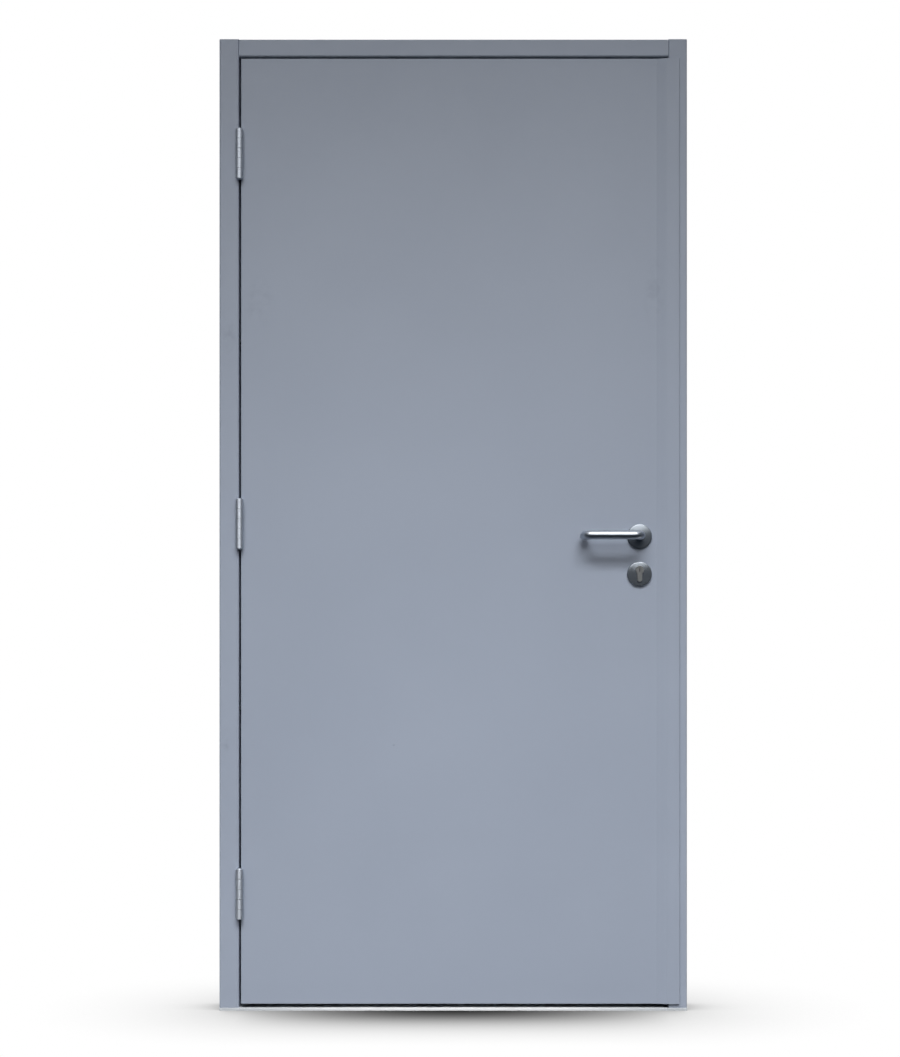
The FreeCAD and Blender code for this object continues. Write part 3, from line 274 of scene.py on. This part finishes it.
def ring_brushed_steel(name, centre, axis, tones, roughness, stretch, metallic):
    """Stainless steel brushed in rings about a centre, on a face across the axis Y or round a pin along Z."""
    material, tree, shader, place = start_material(name)
    offset = add_node(tree, "ShaderNodeVectorMath", {0: place, 1: centre}, operation="SUBTRACT")
    keep = (1, 0, 1) if axis == "Y" else (0, 0, 1)
    flat = add_node(tree, "ShaderNodeVectorMath", {0: offset.outputs[0], 1: keep}, operation="MULTIPLY")
    radius = add_node(tree, "ShaderNodeVectorMath", {0: flat.outputs[0]}, operation="LENGTH")
    along = add_node(tree, "ShaderNodeCombineXYZ", {"X": radius.outputs["Value"]})
    rings = add_node(
        tree, "ShaderNodeTexNoise",
        {"Vector": along.outputs[0], "Scale": per_metre(RING_WIDTH_MM), "Detail": 3.0, "Roughness": 0.6},
    )
    colour = add_node(
        tree, "ShaderNodeMix",
        {"Factor": rings.outputs["Fac"], "A": linear(tones[0]), "B": linear(tones[1])},
        data_type="RGBA",
    )
    tree.links.new(colour.outputs["Result"], shader.inputs["Base Color"])
    gloss = add_node(
        tree, "ShaderNodeMapRange",
        {
            "Value": rings.outputs["Fac"],
            "To Min": roughness - RING_GLOSS_SPREAD, "To Max": roughness + RING_GLOSS_SPREAD,
        },
    )
    tree.links.new(gloss.outputs["Result"], shader.inputs["Roughness"])
    tangent = add_node(tree, "ShaderNodeTangent", direction_type="RADIAL", axis=axis)
    tree.links.new(tangent.outputs["Tangent"], shader.inputs["Tangent"])
    shader.inputs["Metallic"].default_value = metallic
    shader.inputs["Anisotropic"].default_value = stretch
    shader.inputs["Anisotropic Rotation"].default_value = QUARTER_TURN
    bump = add_node(
        tree, "ShaderNodeBump", {"Height": rings.outputs["Fac"], "Distance": RING_HEIGHT, "Strength": 0.5},
    )
    tree.links.new(bump.outputs["Normal"], shader.inputs["Normal"])
    return material


# %% [markdown]
# ## Satin stainless steel
#
# The lever is a bent bar, ground satin with a belt. The scratches are too short and fine to see one by
# one, so the eye gets a broad soft highlight along the top of the bar and a dark underside. A stretched
# noise gives the grain, and a middling roughness gives the breadth of the highlight. The dog bolts in the
# hinge edge are given dark tones, painted shade that keeps them dark in the gap.

# %% Satin bars and plates
GRAIN_HEIGHT = 0.008 * MM
GRAIN_GLOSS_SPREAD = 0.06


def satin_steel(name, tones, grain_mm, stretch, roughness):
    """Stainless steel ground with a belt. Stretch is how many times longer the grain is along each axis."""
    material, tree, shader, place = start_material(name)
    long_grain = add_node(
        tree, "ShaderNodeVectorMath", {0: place, 1: [1 / s for s in stretch]}, operation="MULTIPLY",
    )
    grain = add_node(
        tree, "ShaderNodeTexNoise",
        {"Vector": long_grain.outputs[0], "Scale": per_metre(grain_mm), "Detail": 4.0, "Roughness": 0.65},
    )
    colour = add_node(
        tree, "ShaderNodeMix",
        {"Factor": grain.outputs["Fac"], "A": linear(tones[0]), "B": linear(tones[1])},
        data_type="RGBA",
    )
    tree.links.new(colour.outputs["Result"], shader.inputs["Base Color"])
    gloss = add_node(
        tree, "ShaderNodeMapRange",
        {
            "Value": grain.outputs["Fac"],
            "To Min": roughness - GRAIN_GLOSS_SPREAD, "To Max": roughness + GRAIN_GLOSS_SPREAD,
        },
    )
    tree.links.new(gloss.outputs["Result"], shader.inputs["Roughness"])
    shader.inputs["Metallic"].default_value = 1.0
    bump = add_node(
        tree, "ShaderNodeBump", {"Height": grain.outputs["Fac"], "Distance": GRAIN_HEIGHT, "Strength": 0.5},
    )
    tree.links.new(bump.outputs["Normal"], shader.inputs["Normal"])
    return material


lever_steel = satin_steel("satin_stainless_bar", STEEL_TONES, 0.6, (12, 3, 1), 0.32)
plate_steel = satin_steel("satin_stainless_plate", STEEL_TONES, 0.7, (1, 1, 14), 0.34)
screw_steel = satin_steel("turned_stainless_screw", STEEL_TONES, 0.5, (1, 1, 1), 0.28)
# The dog bolts get dark tones: painted shade that keeps them dark in the hinge gap.
gap_shaded_pin_steel = satin_steel("gap_shaded_steel_pin", PIN_SHADE_TONES, 0.5, (6, 1, 1), 0.50)
print("finishes", lever_steel.name, plate_steel.name, screw_steel.name, gap_shaded_pin_steel.name)

# %% [markdown]
# ## Nickel plated brass
#
# The cylinder and its plugs are machined brass under a thin satin nickel plate. Nickel is a little warmer
# and darker than stainless steel, and the end faces show a fine turned grain.

# %% Nickel plated brass
NICKEL_LIGHT = "#B0B0AE"
NICKEL_DARK = "#969695"
NICKEL_GRAIN_MM = 1.2


def nickel_plated_brass():
    material, tree, shader, place = start_material("nickel_plated_brass")
    grain = add_node(
        tree, "ShaderNodeTexNoise",
        {"Vector": place, "Scale": per_metre(NICKEL_GRAIN_MM), "Detail": 5.0, "Roughness": 0.6},
    )
    colour = add_node(
        tree, "ShaderNodeMix",
        {"Factor": grain.outputs["Fac"], "A": linear(NICKEL_DARK), "B": linear(NICKEL_LIGHT)},
        data_type="RGBA",
    )
    tree.links.new(colour.outputs["Result"], shader.inputs["Base Color"])
    gloss = add_node(tree, "ShaderNodeMapRange", {"Value": grain.outputs["Fac"], "To Min": 0.25, "To Max": 0.38})
    tree.links.new(gloss.outputs["Result"], shader.inputs["Roughness"])
    shader.inputs["Metallic"].default_value = 1.0
    return material


nickel = nickel_plated_brass()

# %% [markdown]
# ## Mill finish aluminium
#
# The sill is an extrusion. The die draws faint straight lines along its length, and the bare metal has
# weathered to a pale skin of oxide that spreads light widely, so it reads as nearly white in the picture.
# From the middle, the colour grows darker towards the ends: painted shade, darkest under the jambs.

# %% Mill finish aluminium
ALUMINIUM_LIGHT = "#F6F8FA"
ALUMINIUM_DARK = "#E6E9EC"
ALUMINIUM_SHADED = "#C4C9CE"
DIE_LINE_MM = 1.5
DIE_LINE_STRETCH = 400
DIE_LINE_HEIGHT = 0.02 * MM
SILL_SHADE_START = 0.15
SILL_SHADE_END = 0.50
OXIDE_METALLIC = 0.25


def mill_finish_aluminium():
    material, tree, shader, place = start_material("mill_finish_aluminium")
    drawn = add_node(
        tree, "ShaderNodeVectorMath", {0: place, 1: (1 / DIE_LINE_STRETCH, 1, 1)}, operation="MULTIPLY",
    )
    lines = add_node(
        tree, "ShaderNodeTexNoise",
        {"Vector": drawn.outputs[0], "Scale": per_metre(DIE_LINE_MM), "Detail": 4.0, "Roughness": 0.6},
    )
    colour = add_node(
        tree, "ShaderNodeMix",
        {"Factor": lines.outputs["Fac"], "A": linear(ALUMINIUM_DARK), "B": linear(ALUMINIUM_LIGHT)},
        data_type="RGBA",
    )
    # Painted shade: the sill darkens from the middle towards the ends, most under the jambs.
    across = add_node(tree, "ShaderNodeSeparateXYZ", {"Vector": place})
    from_middle = add_node(tree, "ShaderNodeMath", {0: across.outputs["X"]}, operation="ABSOLUTE")
    end_shade = add_node(
        tree, "ShaderNodeMapRange",
        {"Value": from_middle.outputs[0], "From Min": SILL_SHADE_START, "From Max": SILL_SHADE_END},
        interpolation_type="SMOOTHSTEP",
    )
    shaded_sill = add_node(
        tree, "ShaderNodeMix",
        {"Factor": end_shade.outputs["Result"], "A": colour.outputs["Result"], "B": linear(ALUMINIUM_SHADED)},
        data_type="RGBA",
    )
    tree.links.new(shaded_sill.outputs["Result"], shader.inputs["Base Color"])
    gloss = add_node(tree, "ShaderNodeMapRange", {"Value": lines.outputs["Fac"], "To Min": 0.42, "To Max": 0.58})
    tree.links.new(gloss.outputs["Result"], shader.inputs["Roughness"])
    shader.inputs["Metallic"].default_value = OXIDE_METALLIC
    bump = add_node(
        tree, "ShaderNodeBump", {"Height": lines.outputs["Fac"], "Distance": DIE_LINE_HEIGHT, "Strength": 0.7},
    )
    tree.links.new(bump.outputs["Normal"], shader.inputs["Normal"])
    return material


aluminium = mill_finish_aluminium()

# %% [markdown]
# ## Hot dip galvanised steel
#
# The straps, backing plates, keeps, stiles and caps behind the paint are galvanised sheet. The zinc
# freezes in flat crystals about a centimetre across, each a slightly different grey: the spangle.
# Voronoi cells have that look, with one random value a cell for the tone and for the gloss.

# %% Hot dip galvanised steel
ZINC_LIGHT = "#B8BDC2"
ZINC_DARK = "#969CA3"
SPANGLE_MM = 11
SPANGLE_SHIFT = 0.006
ZINC_METALLIC = 0.9


def galvanised_steel():
    material, tree, shader, place = start_material("galvanised_steel")
    ragged = add_node(
        tree, "ShaderNodeTexNoise", {"Vector": place, "Scale": per_metre(SPANGLE_MM / 2), "Detail": 3.0},
    )
    shifted = add_node(
        tree, "ShaderNodeVectorMath",
        {0: ragged.outputs["Color"], 1: (SPANGLE_SHIFT,) * 3, 2: place}, operation="MULTIPLY_ADD",
    )
    cells = add_node(
        tree, "ShaderNodeTexVoronoi", {"Vector": shifted.outputs[0], "Scale": per_metre(SPANGLE_MM)},
    )
    tone = add_node(tree, "ShaderNodeSeparateColor", {"Color": cells.outputs["Color"]})
    colour = add_node(
        tree, "ShaderNodeMix",
        {"Factor": tone.outputs["Red"], "A": linear(ZINC_DARK), "B": linear(ZINC_LIGHT)},
        data_type="RGBA",
    )
    tree.links.new(colour.outputs["Result"], shader.inputs["Base Color"])
    gloss = add_node(tree, "ShaderNodeMapRange", {"Value": tone.outputs["Green"], "To Min": 0.38, "To Max": 0.55})
    tree.links.new(gloss.outputs["Result"], shader.inputs["Roughness"])
    shader.inputs["Metallic"].default_value = ZINC_METALLIC
    return material


zinc = galvanised_steel()

# %% [markdown]
# ## EPDM rubber and the core board
#
# The weather seals are extruded EPDM: nearly black, matt, with a faint dusty bloom. The core that fills
# the leaf is pressed mineral board, which only shows through the cut-outs for the lock: a buff colour with
# fibres lying flat in the board.

# %% Seals and core
RUBBER_BLACK = "#303234"
RUBBER_BLOOM = "#4A4D50"
BOARD_LIGHT = "#B7A986"
BOARD_DARK = "#8E8160"


def two_tone(name, dark, light, grain_mm, stretch, roughness, height):
    """Matt material with two mixed tones in a grain that can be drawn out along an axis."""
    material, tree, shader, place = start_material(name)
    drawn = add_node(
        tree, "ShaderNodeVectorMath", {0: place, 1: [1 / s for s in stretch]}, operation="MULTIPLY",
    )
    grain = add_node(
        tree, "ShaderNodeTexNoise",
        {"Vector": drawn.outputs[0], "Scale": per_metre(grain_mm), "Detail": 5.0, "Roughness": 0.6},
    )
    colour = add_node(
        tree, "ShaderNodeMix",
        {"Factor": grain.outputs["Fac"], "A": linear(dark), "B": linear(light)}, data_type="RGBA",
    )
    tree.links.new(colour.outputs["Result"], shader.inputs["Base Color"])
    gloss = add_node(
        tree, "ShaderNodeMapRange",
        {"Value": grain.outputs["Fac"], "To Min": roughness - 0.08, "To Max": roughness + 0.08},
    )
    tree.links.new(gloss.outputs["Result"], shader.inputs["Roughness"])
    bump = add_node(
        tree, "ShaderNodeBump", {"Height": grain.outputs["Fac"], "Distance": height, "Strength": 1.0},
    )
    tree.links.new(bump.outputs["Normal"], shader.inputs["Normal"])
    return material


rubber = two_tone("epdm_rubber", RUBBER_BLACK, RUBBER_BLOOM, 4.0, (1, 1, 1), 0.62, 0.02 * MM)
board = two_tone("mineral_core_board", BOARD_DARK, BOARD_LIGHT, 1.5, (8, 1, 8), 0.85, 0.2 * MM)
print("finishes", nickel.name, aluminium.name, zinc.name, rubber.name, board.name)

# %% [markdown]
# ## Each node gets its finish
#
# The nodes came with one plain material for each kind of surface. The better materials take their
# places in the same slots. The round covers each get rings about their own middle. The rings of the hinges
# differ by height alone, so one steel with one centre serves all three.

# %% Put the finishes on
def middle(name):
    """Middle of the box round a node."""
    low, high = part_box(name)
    return (low + high) / 2


def finish_node(name, material):
    """Give every slot of a node one material."""
    for slot in nodes[name].material_slots:
        slot.material = material


PAINTED = ["hinge_jamb", "lock_jamb", "head", "outer_skin", "inner_skin"]
GALVANISED = [
    "hinge_side_straps", "lock_side_straps", "hinge_backplates", "dog_bolt_keeps", "strike_box",
    "hinge_stile", "lock_stile", "top_cap", "bottom_cap",
]
SEALS = ["hinge_side_seal", "lock_side_seal", "head_seal", "threshold_seal"]
PLATES = ["strike_plate", "mortice_lock", "latch_bolt", "dead_bolt"]
HINGE_PLACES = ["bottom", "middle", "top"]
HINGE_PARTS = ["hinge_frame_leaf", "hinge_door_leaf", "hinge_pin"]
HINGE_ROUGHNESS = 0.63
HINGE_STRETCH = 0.50
COVER_STRETCH = 0.40
# Each kind of cover: the roughness of its rings, and how metallic the film leaves it.
COVER_KINDS = {"rose": (0.31, 0.95), "escutcheon": (0.22, 0.80)}

hinge_nodes = [place + "_" + part for place in HINGE_PLACES for part in HINGE_PARTS]
hinge_steel = ring_brushed_steel(
    "turned_stainless_hinge", tuple(middle("middle_hinge_pin")), "Z",
    HINGE_BRIGHTENED_TONES, HINGE_ROUGHNESS, HINGE_STRETCH, 1.0,
)
groups = [
    (PAINTED, paint),
    (GALVANISED, zinc),
    (SEALS, rubber),
    (PLATES, plate_steel),
    (["dog_bolts"], gap_shaded_pin_steel),
    (hinge_nodes, hinge_steel),
    (["outer_lever", "inner_lever", "spindle"], lever_steel),
    (["lock_cylinder", "cylinder_plugs"], nickel),
    (["threshold"], aluminium),
    (["leaf_core"], board),
]
for names, material in groups:
    for name in names:
        finish_node(name, material)
covers = []
for kind, (roughness, metallic) in COVER_KINDS.items():
    for side in ("outer_", "inner_"):
        name = side + kind
        cover_steel = ring_brushed_steel(
            "brushed_" + name, tuple(middle(name)), "Y", COVER_SHADED_TONES, roughness, COVER_STRETCH, metallic,
        )
        finish_node(name, cover_steel)
        covers.append(name)
left = sorted(set(nodes) - {n for names, _ in groups for n in names} - set(covers))
print("nodes with no finish yet:", left)

# %% [markdown]
# ## Screw heads
#
# The hinges, the forend of the lock and the strike plate are held by countersunk screws with a cross
# recess. A head is a shallow dome, cut off flat at the height where the driver goes in. Its top is
# a flat ring between the round edge and the cross, and the cross is carried down and drawn in to a blunt
# bottom. It is built once in its own plane, with the third direction out of the surface.

# %% One screw head
HEAD_STEPS = 28
SHOULDER_RADIUS = 0.97
SHOULDER_RISE = 0.55
TOP_RADIUS = 0.86
CROSS_ARM = 0.56
CROSS_HALF = 0.15
CROSS_TAPER = 0.72


def add_screw_head(mesh, centre, outward, radius, rise, depth, turn):
    """Add one countersunk head to a bmesh, on a face that looks along plus or minus X."""
    def at(u, v, w):
        across = u * math.cos(turn) - v * math.sin(turn)
        up = u * math.sin(turn) + v * math.cos(turn)
        return mesh.verts.new(centre + Vector((outward * w, outward * across, up)))

    def ring(r, w):
        angles = [2 * math.pi * step / HEAD_STEPS for step in range(HEAD_STEPS)]
        return [at(r * math.cos(a), r * math.sin(a), w) for a in angles]

    def loop_edges(loop):
        return [mesh.edges.new((a, b)) for a, b in zip(loop, loop[1:] + loop[:1])]

    def wall(lower, upper):
        for a, b, c, d in zip(lower, lower[1:] + lower[:1], upper[1:] + upper[:1], upper):
            mesh.faces.new((a, b, c, d))

    foot = ring(radius, 0)
    shoulder = ring(radius * SHOULDER_RADIUS, rise * SHOULDER_RISE)
    edge = ring(radius * TOP_RADIUS, rise)
    wall(foot, shoulder)
    wall(shoulder, edge)
    arm = radius * CROSS_ARM
    half = radius * CROSS_HALF
    quarter = [(arm, -half), (arm, half), (half, half)]
    outline = []
    for step in range(4):
        angle = step * math.pi / 2
        for u, v in quarter:
            outline.append((u * math.cos(angle) - v * math.sin(angle), u * math.sin(angle) + v * math.cos(angle)))
    mouth = [at(u, v, rise) for u, v in outline]
    floor = [at(u * CROSS_TAPER, v * CROSS_TAPER, rise - depth) for u, v in outline]
    wall(mouth, floor)
    mesh.faces.new(floor)
    rim = [mesh.edges.get((a, b)) for a, b in zip(edge, edge[1:] + edge[:1])]
    cross = [mesh.edges.get((a, b)) for a, b in zip(mouth, mouth[1:] + mouth[:1])]
    bmesh.ops.triangle_fill(mesh, use_beauty=True, edges=rim + cross)


def screw_piece(name, body, screws):
    """One piece that holds several screw heads. Each screw: centre, outward sign, radius, rise, depth."""
    mesh = bmesh.new()
    for centre, outward, radius, rise, depth in screws:
        add_screw_head(mesh, Vector(centre), outward, radius, rise, depth, turns.uniform(0, math.pi / 2))
    bmesh.ops.recalc_face_normals(mesh, faces=mesh.faces)
    data = bpy.data.meshes.new(name)
    mesh.to_mesh(data)
    mesh.free()
    piece = bpy.data.objects.new(name, data)
    bpy.context.scene.collection.objects.link(piece)
    data.materials.append(screw_steel)
    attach(piece, body)
    print(name, len(screws), "screws,", len(data.polygons), "faces")


turns = random.Random(5)

# %% [markdown]
# The three screws of a hinge plate stand one above another, 9 mm from its back edge and 32 mm apart.
# The plates of a shut hinge nearly touch, so those heads are flush within a third of a millimetre. The
# forend of the lock and the strike plate have one smaller screw at each end.

# %% Screws of the hinges, the lock and the strike plate
HINGE_PLATE = 3 * MM
HINGE_SCREW_PITCH = 32 * MM
HINGE_SCREW_EDGE = 9 * MM
SCREW_RADIUS = 4.6 * MM
FLUSH_RISE = 0.3 * MM
RAISED_RISE = 0.7 * MM
RECESS_DEPTH = 1.6 * MM
LOCK_SCREW_RADIUS = SCREW_RADIUS * 0.9
SHALLOW_RECESS = RAISED_RISE * 0.8
FOREND_SCREW_EDGE = 9 * MM
STRIKE_SCREW_EDGE = 7.5 * MM

frame_screws = []
leaf_screws = []
for place in HINGE_PLACES:
    for part, outward, screws in (("hinge_frame_leaf", 1, frame_screws), ("hinge_door_leaf", -1, leaf_screws)):
        low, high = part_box(place + "_" + part)
        mid_z = (low.z + high.z) / 2
        frame_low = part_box(place + "_hinge_frame_leaf")[0]
        door_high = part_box(place + "_hinge_door_leaf")[1]
        face_x = frame_low.x + HINGE_PLATE if outward > 0 else door_high.x - HINGE_PLATE
        for step in (-1, 0, 1):
            centre = (face_x, high.y - HINGE_SCREW_EDGE, mid_z + step * HINGE_SCREW_PITCH)
            screws.append((centre, outward, SCREW_RADIUS, FLUSH_RISE, RECESS_DEPTH))
screw_piece("frame_hinge_screws", "frame", frame_screws)
screw_piece("leaf_hinge_screws", "leaf", leaf_screws)


def end_screws(name, outward, edge):
    """One raised screw at each end of a plate that looks along plus or minus X."""
    low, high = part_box(name)
    face_x = high.x if outward > 0 else low.x
    return [
        ((face_x, (low.y + high.y) / 2, z), outward, LOCK_SCREW_RADIUS, RAISED_RISE, SHALLOW_RECESS)
        for z in (low.z + edge, high.z - edge)
    ]


screw_piece("forend_screws", "leaf", end_screws("mortice_lock", 1, FOREND_SCREW_EDGE))
screw_piece("strike_plate_screws", "frame", end_screws("strike_plate", -1, STRIKE_SCREW_EDGE))

# %% [markdown]
# ## The studio
#
# The lever throws two shadows on the leaf, one under the other: a dark one as from a lamp 44 degrees up,
# and a softer one as from 24 degrees. Both bands fade out at their ends, so each row of lamps is a pair of
# wide soft boxes, turned a little to the left and to the right. The leaf is darker towards its top, so the
# upper row is aimed low and slats narrow its spread. The same rows stand behind the door for its inner face,
# and a dim grey sky fills the shadows.

# %% Lamps
LAMP_WIDTH = 2.8
LAMP_TURN = 14

# Each row: elevation, distance, the height it is aimed at, watts, spread in degrees, height of its boxes.
LAMP_ROWS = {
    "key": (44, 5.5, -1.25, 18.6, 46.5, 1.3),
    "fill": (24, 5.0, 0.71, 7.65, 83.1, 1.2),
}


def soft_box(name, azimuth, elevation, distance, aim_height, power, spread, height):
    """Soft box at an azimuth and elevation in degrees, seen from the middle of the door at handle height."""
    lamp = bpy.data.lights.new(name, "AREA")
    lamp.shape = "RECTANGLE"
    lamp.size = LAMP_WIDTH
    lamp.size_y = height
    lamp.energy = power
    lamp.spread = math.radians(spread)
    handle = middle("outer_rose")
    turn = math.radians(azimuth)
    tilt = math.radians(elevation)
    away = Vector((math.sin(turn) * math.cos(tilt), -math.cos(turn) * math.cos(tilt), math.sin(tilt)))
    where = Vector((0, handle.y, handle.z)) + away * distance
    target = Vector((0, front_y, aim_height))
    holder = bpy.data.objects.new(name, lamp)
    holder.location = where
    holder.rotation_euler = (target - where).to_track_quat("-Z", "Y").to_euler()
    bpy.context.scene.collection.objects.link(holder)
    holder.visible_camera = False
    print(name, "at", tuple(round(v, 2) for v in where), power, "watts")


for word, facing in (("front", 0), ("back", 180)):
    for hand, turn in (("left", -LAMP_TURN), ("right", LAMP_TURN)):
        for kind, row in LAMP_ROWS.items():
            soft_box("_".join((word, hand, kind, "lamp")), facing + turn, *row)

# %% [markdown]
# The sky and the floor are white to the camera, and dimmer greys to everything that they light, so they
# don't wash the shadows out. Where something stands close, the floor darkens softly. Under the door it is
# nearly black, most of all in the middle, and this pool of shadow fades out to the front and to the jambs.

# %% Sky and floor
SKY_LEVEL = 0.06


def shown_directly(tree):
    """One where the camera looks, also through glass or by way of a mirror, and zero for scattered light."""
    path = add_node(tree, "ShaderNodeLightPath")
    seen = add_node(
        tree, "ShaderNodeMath", {0: path.outputs["Is Camera Ray"], 1: path.outputs["Is Glossy Ray"]},
        operation="MAXIMUM",
    )
    shown = add_node(
        tree, "ShaderNodeMath", {0: seen.outputs[0], 1: path.outputs["Is Transmission Ray"]}, operation="MAXIMUM",
    )
    return shown.outputs[0]


def studio_sky():
    world = bpy.data.worlds.new("studio_sky")
    bpy.context.scene.world = world
    world.use_nodes = True
    tree = world.node_tree
    tree.nodes.clear()
    level = add_node(
        tree, "ShaderNodeMapRange", {"Value": shown_directly(tree), "To Min": SKY_LEVEL, "To Max": 1.0},
    )
    background = add_node(
        tree, "ShaderNodeBackground", {"Color": linear("#FFFFFF"), "Strength": level.outputs["Result"]},
    )
    add_node(tree, "ShaderNodeOutputWorld", {"Surface": background.outputs[0]})


def plane(name, corners, material):
    """One flat card of the studio."""
    data = bpy.data.meshes.new(name)
    data.from_pydata(corners, [], [tuple(range(len(corners)))])
    card = bpy.data.objects.new(name, data)
    bpy.context.scene.collection.objects.link(card)
    data.materials.append(material)
    card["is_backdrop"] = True
    return card


FLOOR_HALF = 14.0
FLOOR_GREY = "#8A8A8A"
CONTACT_REACH = 0.42
POOL_DEPTH = 0.92
POOL_FRONT = 0.149
POOL_SIDE = 0.455


def studio_floor():
    """White to the camera, with a painted shadow under the door and painted shade close to things. A grey mat to the
    light that it scatters.
    """
    material = bpy.data.materials.new("pale_studio_floor")
    material.use_nodes = True
    tree = material.node_tree
    tree.nodes.clear()
    near = add_node(
        tree, "ShaderNodeAmbientOcclusion", {"Distance": CONTACT_REACH}, samples=16,
    )
    place = add_node(tree, "ShaderNodeTexCoord").outputs["Object"]
    along = add_node(tree, "ShaderNodeSeparateXYZ", {"Vector": place})
    beyond = add_node(tree, "ShaderNodeMath", {0: along.outputs["Y"]}, operation="ABSOLUTE")
    front = add_node(
        tree, "ShaderNodeMapRange",
        {"Value": beyond.outputs[0], "From Min": -front_y, "From Max": POOL_FRONT - front_y, "To Max": 1.0},
        clamp=False,
    )
    front_square = add_node(tree, "ShaderNodeMath", {0: front.outputs[0], 1: 2.0}, operation="POWER")
    front_minus = add_node(tree, "ShaderNodeMath", {0: front_square.outputs[0], 1: -1.0}, operation="MULTIPLY")
    front_fade = add_node(tree, "ShaderNodeMath", {0: front_minus.outputs[0]}, operation="EXPONENT")
    side = add_node(tree, "ShaderNodeMath", {0: along.outputs["X"], 1: POOL_SIDE}, operation="DIVIDE")
    side_square = add_node(tree, "ShaderNodeMath", {0: side.outputs[0], 1: 2.0}, operation="POWER")
    side_fade = add_node(
        tree, "ShaderNodeMath", {0: 1.0, 1: side_square.outputs[0]}, operation="SUBTRACT", use_clamp=True,
    )
    pool = add_node(tree, "ShaderNodeMath", {0: front_fade.outputs[0], 1: side_fade.outputs[0]}, operation="MULTIPLY")
    # The pool is a painted shadow, fixed under the doorway, and the occlusion adds painted shade close to anything
    # that stands on the floor.
    light = add_node(
        tree, "ShaderNodeMapRange", {"Value": pool.outputs[0], "To Min": 1.0, "To Max": 1.0 - POOL_DEPTH},
    )
    shade = add_node(
        tree, "ShaderNodeMath", {0: near.outputs["AO"], 1: light.outputs[0]}, operation="MULTIPLY",
    )
    grey = add_node(
        tree, "ShaderNodeCombineColor",
        {"Red": shade.outputs[0], "Green": shade.outputs[0], "Blue": shade.outputs[0]},
    )
    glow = add_node(tree, "ShaderNodeEmission", {"Color": grey.outputs[0], "Strength": 1.0})
    mat = add_node(tree, "ShaderNodeBsdfDiffuse", {"Color": linear(FLOOR_GREY)})
    surface = add_node(
        tree, "ShaderNodeMixShader", {0: shown_directly(tree), 1: mat.outputs[0], 2: glow.outputs[0]},
    )
    add_node(tree, "ShaderNodeOutputMaterial", {"Surface": surface.outputs[0]})
    return material


studio_sky()
plane(
    "studio_floor",
    [(FLOOR_HALF * u, FLOOR_HALF * v, 0) for u, v in ((-1, -1), (1, -1), (1, 1), (-1, 1))],
    studio_floor(),
)

# %% [markdown]
# Metal also needs something dark to mirror, or it looks like white plastic. Dark cards stand in front,
# behind and at both sides, and lie on the floor. Only reflections see them, as a photographer's black flags
# are kept out of the picture.

# %% Dark cards for the metal to mirror
FLAG_COLOUR = "#39424C"
MAT_COLOUR = "#1C242E"
FLAG_HALF_WIDTH = 7.0
FLAG_DISTANCE = 6.0
FLAG_TOP = 3.0
MAT_START = 0.08
SIDE_FLAG_TOP = 8.0


def dark_card(name, corners, colour):
    """A card that only mirrors and metal see."""
    material = bpy.data.materials.new(name)
    material.use_nodes = True
    tree = material.node_tree
    tree.nodes.clear()
    glow = add_node(tree, "ShaderNodeEmission", {"Color": linear(colour), "Strength": 1.0})
    add_node(tree, "ShaderNodeOutputMaterial", {"Surface": glow.outputs[0]})
    card = plane(name, corners, material)
    card.visible_camera = False
    card.visible_diffuse = False
    card.visible_shadow = False
    card.visible_transmission = False


for side, word in ((-1, "front"), (1, "back")):
    far = side * FLAG_DISTANCE
    near = side * (MAT_START - front_y)
    wide = FLAG_HALF_WIDTH
    dark_card(
        word + "_flag",
        [(-wide, far, 0), (wide, far, 0), (wide, far, FLAG_TOP), (-wide, far, FLAG_TOP)], FLAG_COLOUR,
    )
    dark_card(
        word + "_mat",
        [(-wide, near, MM), (wide, near, MM), (wide, far, MM), (-wide, far, MM)], MAT_COLOUR,
    )
    for hand, end in (("left", -1), ("right", 1)):
        beside = end * FLAG_HALF_WIDTH
        dark_card(
            hand + "_" + word + "_flag",
            [(beside, near, 0), (beside, far, 0), (beside, far, SIDE_FLAG_TOP), (beside, near, SIDE_FLAG_TOP)],
            FLAG_COLOUR,
        )

# %% [markdown]
# ## Colour management and the bounds
#
# The standard view shows colours as they are written. The box of the finished model is measured again at
# the end. Nothing added here may make the door bigger.

# %% Finish
bpy.context.scene.view_settings.view_transform = "Standard"
low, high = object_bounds()
